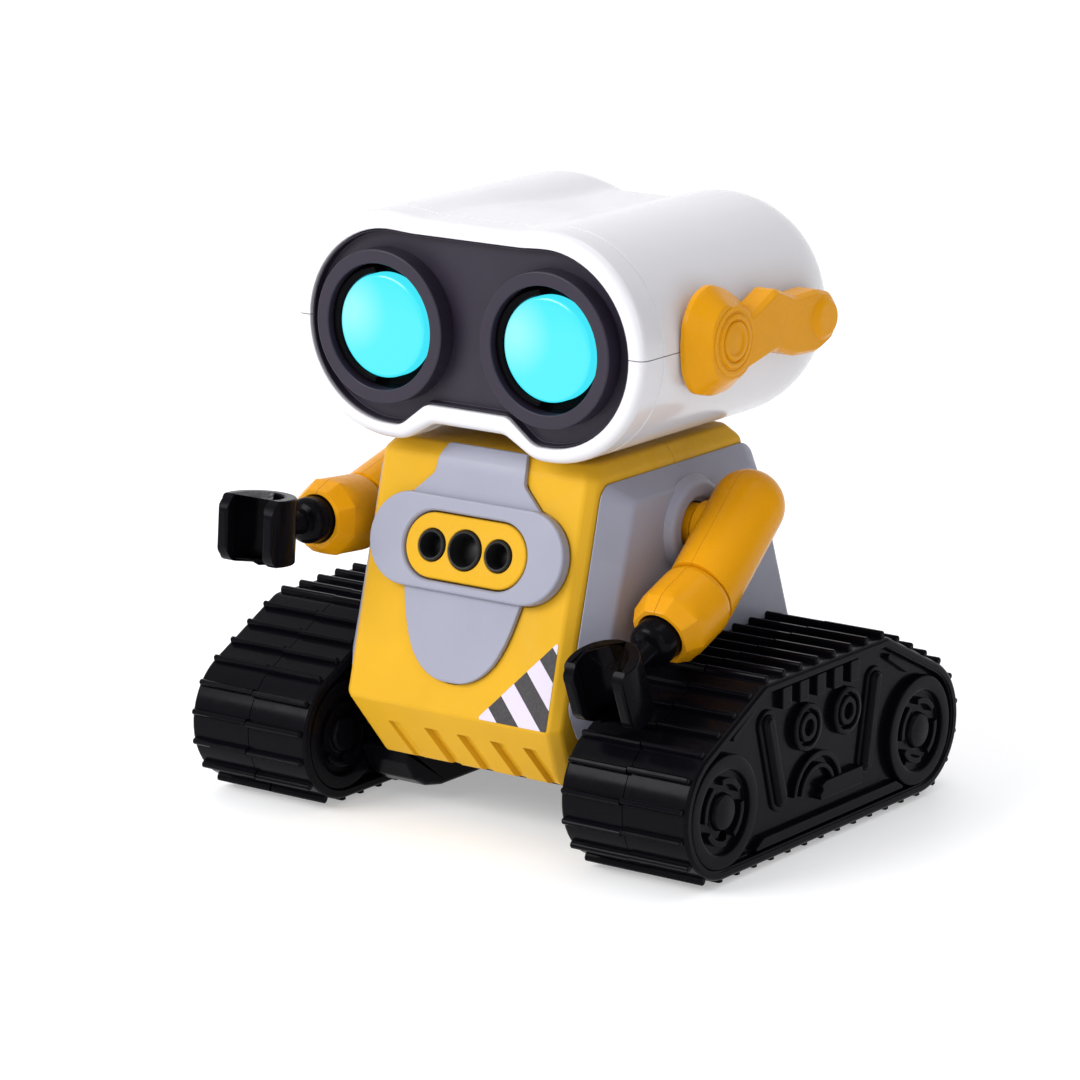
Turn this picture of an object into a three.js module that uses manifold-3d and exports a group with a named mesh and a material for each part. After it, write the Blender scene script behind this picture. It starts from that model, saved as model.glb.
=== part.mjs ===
// Tracked toy robot: binocular head on a swivel neck, wedge body, two arms with
// C-shaped grippers, and two moulded track pods that hide powered wheels.
// Millimetres, +Z up, the robot looks along -Y. Its own left side is +X.

import * as THREE from "three";
import { mergeVertices } from "three/addons/utils/BufferGeometryUtils.js";
import Module from "manifold-3d";

const wasm = await Module();
wasm.setup();

// ---------------------------------------------------------------- driving dimensions

const GAP = 0.3; // clearance between pieces that touch
const WALL = 2.2; // moulded wall thickness
const CENTRE_Y = 4.766; // the bench frame's centre, taken off every Y at the end
const DEG = Math.PI / 180;

const HEAD = {
  front: -40, seamZ: 131.7, barrelX: 25.5, barrelR: 29.8, rear: 60, dome: 25, domePower: 2.3,
  top: 160.6, valley: 158.4, notchZ: 107.3, notchHalf: 12.5, lobeHalf: 21.5, lobeZ: 102.2,
};
const MASK = { y: -37, thick: 2, r: 24.9, barrelX: 25.3, notchZ: 112.7, notchHalf: 13.5, lobeZ: 107.4 };
const EYE = { x: 26.2, z: 131.6, outerR: 20.2, holeR: 16.5, lensR: 14.3, front: -42.5, lensY: -39.9 };
const EAR = {
  inner: 55.9, outer: 62.6, hubY: -10.4, hubZ: 133.2, hubR: 9, tailY: 31.2, tailZ: 132.6, tailR: 4.6,
};
const NECK = { y: 3.6, r: 13, bottom: 94.5, top: 112 };

const BODY = {
  halfX: 34.6, chamfer: 2.7, topZ: 100.2, shoulderZ: 96.8, skirtZ: 35.1, bottomZ: 16.4,
  frontTop: -31.9, frontSkirt: -48.3, frontBottom: -37.7,
  rearTop: 37.3, rearSkirt: 60.2, rearBottom: 60, seamY: 3.9,
};
const PANEL = { inner: 34.9, outer: 40.4 };
const CHEST = {
  halfLength: 31, r: 12.3, z: 76.7, proud: 3.4, plate: 1.6, slotHalf: 19.6, slotR: 8.9, slotZ: 75.4,
};
const SENSORS = [
  { name: "sensor_left", x: 10.5, r: 4.4 },
  { name: "sensor_centre", x: -0.2, r: 5.4 },
  { name: "sensor_right", x: -10.8, r: 4.4 },
];

const ARM = {
  x: 53.4, pivotY: 3.8, pivotZ: 79.6, stubR: 6, bossR: 12.3,
  upperR: 9.7, back: 8.5, reach: 21, bend: 20, foreR: 10.3, foreLength: 18.8,
  collarR: 6.2, clawOffset: 24, clawR: 9.9, clawBore: 6.5, clawHeight: 17.6, mouthHalf: 5.9,
};
const ARM_ANGLE = { left: -41.6, right: -15.4 }; // above the horizontal, at rest

const TRACK = {
  inner: 41.3, seam: 60.5, outer: 80, midY: 8.7, endSpan: 93, cornerSpan: 56,
  endR: 18.1, endZ: 19.6, cornerR: 5, cornerZ: 43.4, rib: 1.8, pitch: 7.8, bottom: 0.7, wall: 2,
};
const DISC = { r: 15, z: 18.9, frontY: -37.6, rearY: 55 };
const CHASSIS = {
  innerX: 25.3, outerX: TRACK.inner - 0.4, wall: 2,
  panZ: 13.6, top: 15.9, panFront: -28, tubFront: 22, rear: 60,
};
const WHEEL = { r: 12, halfWidth: 4.6, axleR: 1.5, frontY: -36.5, rearY: 49.5 };
const GEAR = { module: 1, driven: 14, pinion: 8, x: 3, width: 3 };

// ---------------------------------------------------------------- materials

const finish = (color, roughness, metalness = 0) => ({ color, roughness, metalness });
const YELLOW = finish(0xf0b030, 0.42);
const ARM_YELLOW = finish(0xe9a01a, 0.25);
const WHITE = finish(0xf0eef3, 0.18);
const GREY = finish(0xa9aec4, 0.5);
const DARK = finish(0x463d4e, 0.45);
const BLACK = finish(0x0c0c0e, 0.2);
const CYAN = finish(0x58f5ff, 0.15);
const RUBBER = finish(0x1a1a1c, 0.85);
const STEEL = finish(0xb9bcc2, 0.3, 1);
const BOARD = finish(0x1f6b3a, 0.5);
const CELL = finish(0x2b5fae, 0.4);

// ---------------------------------------------------------------- solids

// A closed three.js geometry as a manifold solid, turned right way out.
function solid(geometry) {
  const bare = new THREE.BufferGeometry();
  bare.setAttribute("position", geometry.getAttribute("position").clone());
  if (geometry.index) bare.setIndex(geometry.index.clone());
  const merged = mergeVertices(bare, 1e-4);
  const points = merged.getAttribute("position");
  const index = merged.index.array;
  const faces = [];
  let volume = 0;
  const corner = [new THREE.Vector3(), new THREE.Vector3(), new THREE.Vector3()];
  for (let i = 0; i < index.length; i += 3) {
    const [a, b, c] = [index[i], index[i + 1], index[i + 2]];
    if (a === b || b === c || c === a) continue;
    faces.push([a, b, c]);
    [a, b, c].forEach((v, k) => corner[k].fromBufferAttribute(points, v));
    volume += corner[0].dot(corner[1].cross(corner[2]));
  }
  const triVerts = new Uint32Array(faces.flatMap(([a, b, c]) => (volume < 0 ? [a, c, b] : [a, b, c])));
  const vertProperties = new Float32Array(points.array);
  return new wasm.Manifold(new wasm.Mesh({ numProp: 3, vertProperties, triVerts }));
}

const AXES = {
  x: new THREE.Matrix4().makeBasis(
    new THREE.Vector3(0, 1, 0), new THREE.Vector3(0, 0, 1), new THREE.Vector3(1, 0, 0)),
  y: new THREE.Matrix4().makeBasis(
    new THREE.Vector3(1, 0, 0), new THREE.Vector3(0, 0, 1), new THREE.Vector3(0, -1, 0)),
  z: new THREE.Matrix4(),
};

// An outline pushed along an axis, from low to high on that axis.
// The outline's own coordinates are (Y, Z) for axis x, (X, Z) for y and (X, Y) for z.
function prism(axis, outline, low, high) {
  const shape = new THREE.Shape(outline.map(([u, v]) => new THREE.Vector2(u, v)));
  const geometry = new THREE.ExtrudeGeometry(shape, { depth: high - low, bevelEnabled: false });
  geometry.applyMatrix4(AXES[axis]);
  const shift = { x: [low, 0, 0], y: [0, high, 0], z: [0, 0, low] }[axis];
  return solid(geometry.translate(...shift));
}

function box(x0, x1, y0, y1, z0, z1) {
  const geometry = new THREE.BoxGeometry(x1 - x0, y1 - y0, z1 - z0);
  return solid(geometry.translate((x0 + x1) / 2, (y0 + y1) / 2, (z0 + z1) / 2));
}

// A profile of [radius, place along the axis] turned about an axis through a centre.
function turned(axis, profile, centre, segments = 32) {
  const geometry = new THREE.LatheGeometry(profile.map(([r, t]) => new THREE.Vector2(r, t)), segments);
  const basis = {
    x: [new THREE.Vector3(0, 1, 0), new THREE.Vector3(1, 0, 0), new THREE.Vector3(0, 0, -1)],
    y: [new THREE.Vector3(1, 0, 0), new THREE.Vector3(0, 1, 0), new THREE.Vector3(0, 0, 1)],
    z: [new THREE.Vector3(1, 0, 0), new THREE.Vector3(0, 0, 1), new THREE.Vector3(0, -1, 0)],
  }[axis];
  geometry.applyMatrix4(new THREE.Matrix4().makeBasis(...basis));
  return solid(geometry.translate(...centre));
}

// A plain rod and a pipe along an axis.
function rod(axis, r, low, high, centre, segments = 24) {
  return turned(axis, [[0, low], [r, low], [r, high], [0, high]], centre, segments);
}

function pipe(axis, outerR, innerR, low, high, centre, segments = 32) {
  const profile = [[innerR, low], [outerR, low], [outerR, high], [innerR, high], [innerR, low]];
  return turned(axis, profile, centre, segments);
}

// A skin over rings of points: every ring has the same count, and both ends are closed.
function loft(rings) {
  const count = rings[0].length;
  const positions = rings.flat(2);
  const index = [];
  for (let r = 0; r + 1 < rings.length; r++) {
    for (let i = 0; i < count; i++) {
      const [a, b] = [r * count + i, r * count + ((i + 1) % count)];
      index.push(a, b, b + count, a, b + count, a + count);
    }
  }
  const last = (rings.length - 1) * count;
  const flat = (ring) => {
    const drop = ["x", "y", "z"].find((_, k) => ring.every((p) => Math.abs(p[k] - ring[0][k]) < 1e-6));
    const keep = { x: [1, 2], y: [0, 2], z: [0, 1] }[drop];
    return ring.map((p) => new THREE.Vector2(p[keep[0]], p[keep[1]]));
  };
  for (const [a, b, c] of THREE.ShapeUtils.triangulateShape(flat(rings[0]), [])) index.push(a, b, c);
  for (const [a, b, c] of THREE.ShapeUtils.triangulateShape(flat(rings[rings.length - 1]), [])) {
    index.push(last + a, last + b, last + c);
  }
  const geometry = new THREE.BufferGeometry();
  geometry.setAttribute("position", new THREE.Float32BufferAttribute(positions, 3));
  geometry.setIndex(orient(index, positions));
  return solid(geometry);
}

// Turns triangles so that neighbours agree about which side is out.
function orient(index, positions) {
  const key = (v) => [0, 1, 2].map((k) => Math.round(positions[v * 3 + k] * 1e4)).join();
  const faces = [];
  for (let i = 0; i < index.length; i += 3) {
    const face = [index[i], index[i + 1], index[i + 2]];
    const keys = face.map(key);
    if (new Set(keys).size === 3) faces.push({ face, keys });
  }
  const edges = new Map();
  const edgeName = (a, b) => (a < b ? `${a}|${b}` : `${b}|${a}`);
  faces.forEach((f, n) => f.keys.forEach((a, k) => {
    const name = edgeName(a, f.keys[(k + 1) % 3]);
    if (!edges.has(name)) edges.set(name, []);
    edges.get(name).push(n);
  }));
  const seen = new Set([0]);
  const queue = [0];
  while (queue.length) {
    const f = faces[queue.pop()];
    for (let k = 0; k < 3; k++) {
      const [a, b] = [f.keys[k], f.keys[(k + 1) % 3]];
      for (const n of edges.get(edgeName(a, b))) {
        if (seen.has(n)) continue;
        const g = faces[n];
        const sameWay = g.keys.some((v, j) => v === a && g.keys[(j + 1) % 3] === b);
        if (sameWay) {
          g.face.reverse();
          g.keys.reverse();
        }
        seen.add(n);
        queue.push(n);
      }
    }
  }
  return faces.flatMap((f) => f.face);
}

const join = (...solids) => solids.reduce((a, b) => a.add(b));
const cut = (first, ...tools) => tools.reduce((a, b) => a.subtract(b), first);
const BIG = 400;
const above = (z) => box(-BIG, BIG, -BIG, BIG, z, BIG);
const below = (z) => box(-BIG, BIG, -BIG, BIG, -BIG, z);
const before = (y) => box(-BIG, BIG, -BIG, y, -BIG, BIG);
const behind = (y) => box(-BIG, BIG, y, BIG, -BIG, BIG);
const between = (x0, x1) => box(x0, x1, -BIG, BIG, -BIG, BIG);

const robot = new THREE.Group();

// Names a solid, gives it its finish and hangs it on the robot or a turned group.
function piece(name, shape, look, parent = robot) {
  const out = shape.getMesh();
  const geometry = new THREE.BufferGeometry();
  geometry.setAttribute("position", new THREE.BufferAttribute(out.vertProperties, 3));
  geometry.setIndex(new THREE.BufferAttribute(out.triVerts, 1));
  geometry.computeVertexNormals();
  const mesh = new THREE.Mesh(geometry, new THREE.MeshStandardMaterial(look));
  mesh.name = name;
  parent.add(mesh);
}

const SIDES = [["left", 1], ["right", -1]];
const mirrorX = (s, shape) => (s > 0 ? shape : shape.mirror([1, 0, 0]));

// ---------------------------------------------------------------- head

const arc = (cx, cz, r, from, to, steps) => Array.from({ length: steps + 1 }, (_, i) => {
  const t = (from + ((to - from) * i) / steps) * DEG;
  return [cx + r * Math.cos(t), cz + r * Math.sin(t)];
});

// Half of the head's section: a barrel, a flat bridge on top, a notch for the neck below.
// inset shrinks it all round; squeeze brings it in towards the barrel axis at the rear dome.
function headSection(inset, squeeze, y) {
  const r = (HEAD.barrelR - inset) * squeeze;
  const reach = (z, i) => HEAD.seamZ + (z - HEAD.seamZ + i) * squeeze;
  const rise = Math.min(1, Math.max(0, (y - HEAD.front - 14) / 40));
  const bridge = HEAD.top - (HEAD.top - HEAD.valley) * rise;
  const barrel = arc(HEAD.barrelX, HEAD.seamZ, r, -98, 98, 12);
  const half = [
    [HEAD.notchHalf - 0.6 * inset, reach(HEAD.notchZ, inset)],
    [HEAD.lobeHalf - 4, reach(HEAD.lobeZ + 4, inset)],
    ...barrel,
    [HEAD.barrelX - 12, reach(bridge, -inset)],
  ];
  const ring = [...half, ...half.map(([x, z]) => [-x, z]).reverse()];
  return ring.map(([x, z]) => [x, y, z]);
}

function headSolid(inset, front, rear) {
  const straightEnd = HEAD.rear - HEAD.dome;
  const rings = [front, HEAD.front + 14, HEAD.front + 54, straightEnd]
    .map((y) => headSection(inset, 1, y));
  const reach = rear - straightEnd;
  for (const t of [0.35, 0.6, 0.8, 0.93, 0.985]) {
    const squeeze = (1 - t ** HEAD.domePower) ** (1 / HEAD.domePower);
    rings.push(headSection(inset, squeeze, straightEnd + t * reach));
  }
  return loft(rings);
}

const neckHole = rod("z", NECK.r + GAP + 0.2, 90, HEAD.notchZ + 4, [0, NECK.y, 0], 28);
const maskOutline = (grow) => [
  [MASK.notchHalf - grow / 2, MASK.notchZ - grow], [MASK.notchHalf + 8.2 - grow / 2, MASK.lobeZ - grow],
  ...arc(MASK.barrelX, HEAD.seamZ, MASK.r + grow, -92, 90, 14),
];
const maskRing = (grow) => {
  const half = maskOutline(grow);
  return [...half, ...half.map(([x, z]) => [-x, z]).reverse()];
};
const headShell = cut(
  headSolid(0, HEAD.front, HEAD.rear),
  headSolid(WALL, MASK.y + 3, HEAD.rear - WALL),
  prism("y", maskRing(GAP), HEAD.front - 1, MASK.y + 3.5),
);
piece("head_top_shell", headShell.intersect(above(HEAD.seamZ + GAP / 2)), WHITE);
piece("head_bottom_shell", cut(headShell.intersect(below(HEAD.seamZ - GAP / 2)), neckHole), WHITE);

// The dark face plate follows the two barrels and the neck notch.
const eyeHoles = SIDES.map(([, s]) => rod("y", EYE.holeR, -50, -30, [s * EYE.x, 0, EYE.z], 24));
piece("face_mask", cut(prism("y", maskRing(0), MASK.y, MASK.y + MASK.thick), ...eyeHoles), DARK);

for (const [side, s] of SIDES) {
  const at = [s * EYE.x, 0, EYE.z];
  const bezel = [
    [EYE.holeR, MASK.y - GAP], [EYE.holeR, EYE.front],
    [EYE.outerR - 1.4, EYE.front], [EYE.outerR, EYE.front + 1.4], [EYE.outerR, MASK.y - GAP],
    [EYE.holeR, MASK.y - GAP],
  ];
  piece(`eye_bezel_${side}`, turned("y", bezel, at, 24), DARK);
  const lensBack = EYE.lensY + 2;
  const lens = [[0, EYE.lensY - 0.9], [EYE.lensR, EYE.lensY], [EYE.lensR, lensBack], [0, lensBack]];
  piece(`eye_lens_${side}`, turned("y", lens, at, 24), CYAN);
  const cone = [
    [EYE.lensR + GAP, EYE.lensY + 0.4], [EYE.holeR - GAP, EYE.lensY + 0.4], [EYE.holeR - GAP, -33],
    [5, -29], [5, -31], [EYE.lensR - 2, EYE.lensY + 3.6], [EYE.lensR + GAP, EYE.lensY + 2.4],
    [EYE.lensR + GAP, EYE.lensY + 0.4],
  ];
  piece(`eye_reflector_${side}`, turned("y", cone, at, 16), DARK);
}
const ledBoard = join(
  box(-36, 36, -28.5, -27, 120, 142),
  ...SIDES.map(([, s]) => rod("y", 2.6, -30.5, -27.5, [s * EYE.x, 0, EYE.z], 12)),
);
piece("eye_led_board", ledBoard, BOARD);

// The ear arm: a large chamfered hub in front, a cranked bar and a small boss behind.
const earHub = [
  [-20.5, 120.6], [-12, 118.6], [-4, 119.2], [2.6, 124.6], [3.8, 133], [0.8, 141], [-6.5, 145.4],
  [-14, 147.8], [-20, 145.6], [-24.2, 140], [-25, 133], [-24.2, 126],
];
const earBar = [
  [-6, 124], [9.8, 127.4], [18.5, 124.4], [29, 123.8], [36, 126.4], [38.6, 132.6], [35.6, 138.6],
  [29, 140.4], [18.4, 140.2], [9.4, 143.6], [-5, 137],
];
const hubLevel = (x, scale) => earHub.map(([y, z]) => (
  [x, EAR.hubY + (y - EAR.hubY) * scale, EAR.hubZ + (z - EAR.hubZ) * scale]
));
for (const [side, s] of SIDES) {
  const hub = loft([hubLevel(EAR.inner, 1), hubLevel(EAR.inner + 1.6, 1), hubLevel(EAR.outer, 0.66)]);
  const bar = prism("x", earBar, EAR.inner, EAR.outer);
  const disc = rod("x", EAR.hubR, EAR.inner + 1, EAR.outer + 0.8, [0, EAR.hubY, EAR.hubZ], 28);
  const boss = rod("x", EAR.tailR, EAR.inner + 1, EAR.outer + 1.4, [0, EAR.tailY, EAR.tailZ], 20);
  piece(`ear_${side}`, mirrorX(s, join(hub, bar, disc, boss)), ARM_YELLOW);
}

// ---------------------------------------------------------------- neck

const neckAt = [0, NECK.y, 0];
const neck = turned("z", [
  [5, NECK.bottom], [NECK.r + 3, NECK.bottom], [NECK.r + 3, 96.6], [NECK.r - 2, 96.6], [NECK.r - 2, 101],
  [NECK.r, 101], [NECK.r, NECK.top - 1.6], [NECK.r + 3, NECK.top - 1.6], [NECK.r + 3, NECK.top],
  [5, NECK.top], [5, NECK.bottom],
], neckAt, 20);
piece("neck_spindle", neck, BLACK);

// ---------------------------------------------------------------- body

// One level of the body: a rectangle with chamfered corners.
function bodyRing(z, halfX, front, rear, inset = 0) {
  const [h, f, b, c] = [halfX - inset, front + inset, rear - inset, BODY.chamfer];
  return [
    [h - c, f, z], [h, f + c, z], [h, b - c, z], [h - c, b, z],
    [c - h, b, z], [-h, b - c, z], [-h, f + c, z], [c - h, f, z],
  ];
}

function bodySolid(inset, lift) {
  return loft([
    bodyRing(BODY.bottomZ - lift, 30.5, BODY.frontBottom, BODY.rearBottom, inset),
    bodyRing(BODY.skirtZ, BODY.halfX, BODY.frontSkirt, BODY.rearSkirt, inset),
    bodyRing(BODY.shoulderZ - inset / 2, BODY.halfX, BODY.frontTop, BODY.rearTop, inset),
    bodyRing(BODY.topZ - inset, BODY.halfX - 2.8, BODY.frontTop + 3, BODY.rearTop - 3, inset),
  ]);
}

const shoulder = [0, ARM.pivotY, ARM.pivotZ];
const shoulderHoles = SIDES.map(([, s]) => mirrorX(s, rod("x", ARM.stubR + 0.5, 20, 50, shoulder)));
const neckOpening = rod("z", NECK.r - 2 + 0.5, 90, 110, neckAt, 28);
const skirtNotches = [-19, -7.6, 3, 13.7, 24.2].map((x) => (
  prism("y", [[x, 14], [x + 5, 14], [x + 3, 18.4], [x + 0.6, 18.4]], -60, -30)
));
const bodyShell = cut(bodySolid(0, 0), bodySolid(WALL, 1), ...shoulderHoles, neckOpening, ...skirtNotches);
const chestSocket = prism("y", [[-17, 69], [17, 69], [17, 83], [-17, 83]], -60, -25);
const frontShell = cut(bodyShell.intersect(before(BODY.seamY - GAP / 2)), chestSocket);
piece("body_front_shell", frontShell, YELLOW);

// The back has a battery door, a slide switch window, a charging socket and two screw holes.
const HATCH = { halfX: 17, z0: 48, z1: 84, thick: 2 };
const backSlope = (BODY.rearSkirt - BODY.rearTop) / (BODY.shoulderZ - BODY.skirtZ);
const backY = (z) => BODY.rearTop + (BODY.shoulderZ - z) * backSlope;
const slab = (halfX, z0, z1, proud, depth) => loft([z0, z1].map((z) => {
  const [out, back] = [backY(z) + proud, backY(z) - depth];
  return [[-halfX, out, z], [halfX, out, z], [halfX, back, z], [-halfX, back, z]];
}));
const SWITCH = { x: 24, z: 44, travel: 1.5 };
const SOCKET = { x: -24, z: 44 };
const switchWindow = slab(3.4, SWITCH.z - 2.4, SWITCH.z + 2.4, 2, 6).translate([SWITCH.x, 0, 0]);
const socketWindow = slab(5.2, SOCKET.z - 2.4, SOCKET.z + 2.4, 2, 12).translate([SOCKET.x, 0, 0]);
const hatchWindow = slab(HATCH.halfX + GAP, HATCH.z0 - GAP, HATCH.z1 + GAP, 2, 6);
const rearHalf = bodyShell.intersect(behind(BODY.seamY + GAP / 2));
const rearShell = cut(rearHalf, hatchWindow, switchWindow, socketWindow);
piece("body_rear_shell", rearShell, YELLOW);
piece("battery_cover", slab(HATCH.halfX, HATCH.z0, HATCH.z1, 0, HATCH.thick), YELLOW);

const knob = slab(1.6, SWITCH.z - 1.9, SWITCH.z + 1.9, 1.4, 3.2);
const slider = slab(4.4, SWITCH.z - 3, SWITCH.z + 3, -WALL - 0.5, 3.8);
piece("power_switch", join(knob, slider).translate([SWITCH.x - SWITCH.travel, 0, 0]), BLACK);
const socketBody = cut(
  slab(4.9, SOCKET.z - 2.1, SOCKET.z + 2.1, -0.4, 8), slab(3.9, SOCKET.z - 1.2, SOCKET.z + 1.2, 1, 6.5),
);
piece("charging_socket", socketBody.translate([SOCKET.x, 0, 0]), STEEL);

// Grey side panels with a raised ring round each shoulder.
const panelBase = [
  [-27.2, 95.3], [-29.6, 92.7], [-33, 79.5], [-43.7, 39.2], [-39.3, 30.1], [52, 30.1], [57, 43.7],
  [41.6, 86.5], [39, 92.7], [35.4, 95.3],
];
const panelTop = [
  [-20.8, 90.6], [-22.4, 89.4], [-26.2, 76.6], [-37, 41.6], [-34.4, 34.6], [48.2, 34.6], [50.8, 44],
  [36.4, 84.2], [34.4, 89], [31.6, 90.6],
];
const PANEL_MIDDLE = [8.7, 63];
for (const [side, s] of SIDES) {
  const level = (outline, x, scaleY, scaleZ) => outline.map(([y, z]) => (
    [x, PANEL_MIDDLE[0] + (y - PANEL_MIDDLE[0]) * scaleY, PANEL_MIDDLE[1] + (z - PANEL_MIDDLE[1]) * scaleZ]
  ));
  const skin = loft([level(panelBase, PANEL.inner, 1, 1), level(panelTop, PANEL.outer, 1, 1)]);
  const back = loft([
    level(panelBase, PANEL.inner - 1, 0.95, 0.94), level(panelTop, PANEL.outer - WALL, 0.95, 0.94),
  ]);
  const boss = turned("x", [
    [ARM.stubR + 0.5, PANEL.inner], [9.4, PANEL.inner], [ARM.bossR + 0.6, PANEL.outer - 0.6],
    [ARM.bossR - 1.6, PANEL.outer + 2.4], [8.4, PANEL.outer + 2.4], [ARM.stubR + 0.5, PANEL.outer + 0.6],
    [ARM.stubR + 0.5, PANEL.inner],
  ], shoulder, 24);
  const hole = rod("x", ARM.stubR + 0.5, 30, 50, shoulder, 24);
  piece(`side_panel_${side}`, mirrorX(s, join(cut(skin, back, hole), boss)), GREY);
}

// ---------------------------------------------------------------- chest

// The chest pieces are drawn upright and leaned back onto the sloping front.
const lean = Math.atan((BODY.frontTop - BODY.frontSkirt) / (BODY.shoulderZ - BODY.skirtZ)) / DEG;
const onChest = (shape) => {
  const faceY = BODY.frontTop - (BODY.shoulderZ - CHEST.z) * Math.tan(lean * DEG);
  return shape.translate([0, 0, -CHEST.z]).rotate([-lean, 0, 0]).translate([0, faceY, CHEST.z]);
};
const capsule = (half, r, z, steps = 8) => [
  ...arc(half - r, z, r, -90, 90, steps), ...arc(r - half, z, r, 90, 270, steps),
];
const bib = [
  [0, 41.4], [5, 42.2], [9.6, 45], [14, 50], [17.4, 57], [19.4, 65], [20.6, 87.6], [14.4, 93.8], [14, 97],
];
const bibOutline = [...bib, ...bib.slice(1).map(([x, z]) => [-x, z]).reverse()];
const chestPlate = cut(
  join(
    prism("y", bibOutline, -CHEST.plate, -GAP),
    prism("y", capsule(CHEST.halfLength, CHEST.r, CHEST.z), -CHEST.proud, -GAP),
  ),
  prism("y", capsule(CHEST.slotHalf, CHEST.slotR, CHEST.slotZ), -9, 3),
);
piece("chest_plate", onChest(chestPlate), GREY);
const sensorHoles = SENSORS.map(({ x, r }) => rod("y", r, -9, 9, [x, 0, CHEST.slotZ], 16));
const slotPlate = cut(
  prism("y", capsule(CHEST.slotHalf - GAP, CHEST.slotR - GAP, CHEST.slotZ), -CHEST.proud + 0.5, -GAP),
  ...sensorHoles,
);
piece("sensor_plate", onChest(slotPlate), YELLOW);
for (const { name, x, r } of SENSORS) {
  const tube = pipe("y", r - GAP, r - 1.7, -CHEST.proud - 0.1, 2.4, [x, 0, CHEST.slotZ], 16);
  const window = rod("y", r - 1.2, 1.2, 2.4, [x, 0, CHEST.slotZ], 16);
  piece(name, onChest(join(tube, window)), BLACK);
}

// ---------------------------------------------------------------- inside the body

// The chassis is a thin pan, a rounded rail along each pod and a gearbox tub at the rear.
const railSide = (inset) => [
  [-33 + inset, CHASSIS.top + inset], [-32 + inset, 12], [-28.4 + inset, 6.7],
  [-23.6 + inset, 4 + inset / 2], [-17, 2.7 + inset * 0.6], [57, 2.7 + inset * 0.6],
  [CHASSIS.rear - inset, 5.7 + inset], [CHASSIS.rear - inset, CHASSIS.top + inset],
];
const railShape = (inset) => prism("x", railSide(inset), CHASSIS.innerX + inset, CHASSIS.outerX - inset);
const panHalf = CHASSIS.innerX + 1;
const tubShape = (inset) => (
  prism("x", railSide(inset), inset - panHalf, panHalf - inset).intersect(behind(CHASSIS.tubFront + inset))
);
const rail = cut(railShape(0), railShape(CHASSIS.wall));
const pan = box(-panHalf, panHalf, CHASSIS.panFront, CHASSIS.tubFront + 1, CHASSIS.panZ, CHASSIS.top);
const frame = join(rail, rail.mirror([1, 0, 0]), cut(tubShape(0), tubShape(CHASSIS.wall)), pan);
piece("chassis", cut(frame, rod("x", WHEEL.axleR + 0.4, -60, 60, [0, WHEEL.rearY, WHEEL.r], 16)), BLACK);
piece("battery_pack", rod("x", 9, -25, 25, [0, 33, 66], 20), CELL);
piece("main_board", box(-24, 24, -10, 24, 34, 35.6), BOARD);
const coneProfile = [[0, 18], [15, 18], [15, 20], [9, 27], [9, 31], [0, 31]];
piece("speaker", turned("z", coneProfile, [0, -14, 0], 24), BLACK);

// ---------------------------------------------------------------- arms

// Drawn along -Y from the shoulder axis at the origin, then raised and placed.
// The forearm is drawn straight and bent down to its own line at the elbow.
function bentAt(shape) {
  return shape.rotate([-ARM.bend, 0, 0]).translate([0, -ARM.reach, 0]);
}

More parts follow.
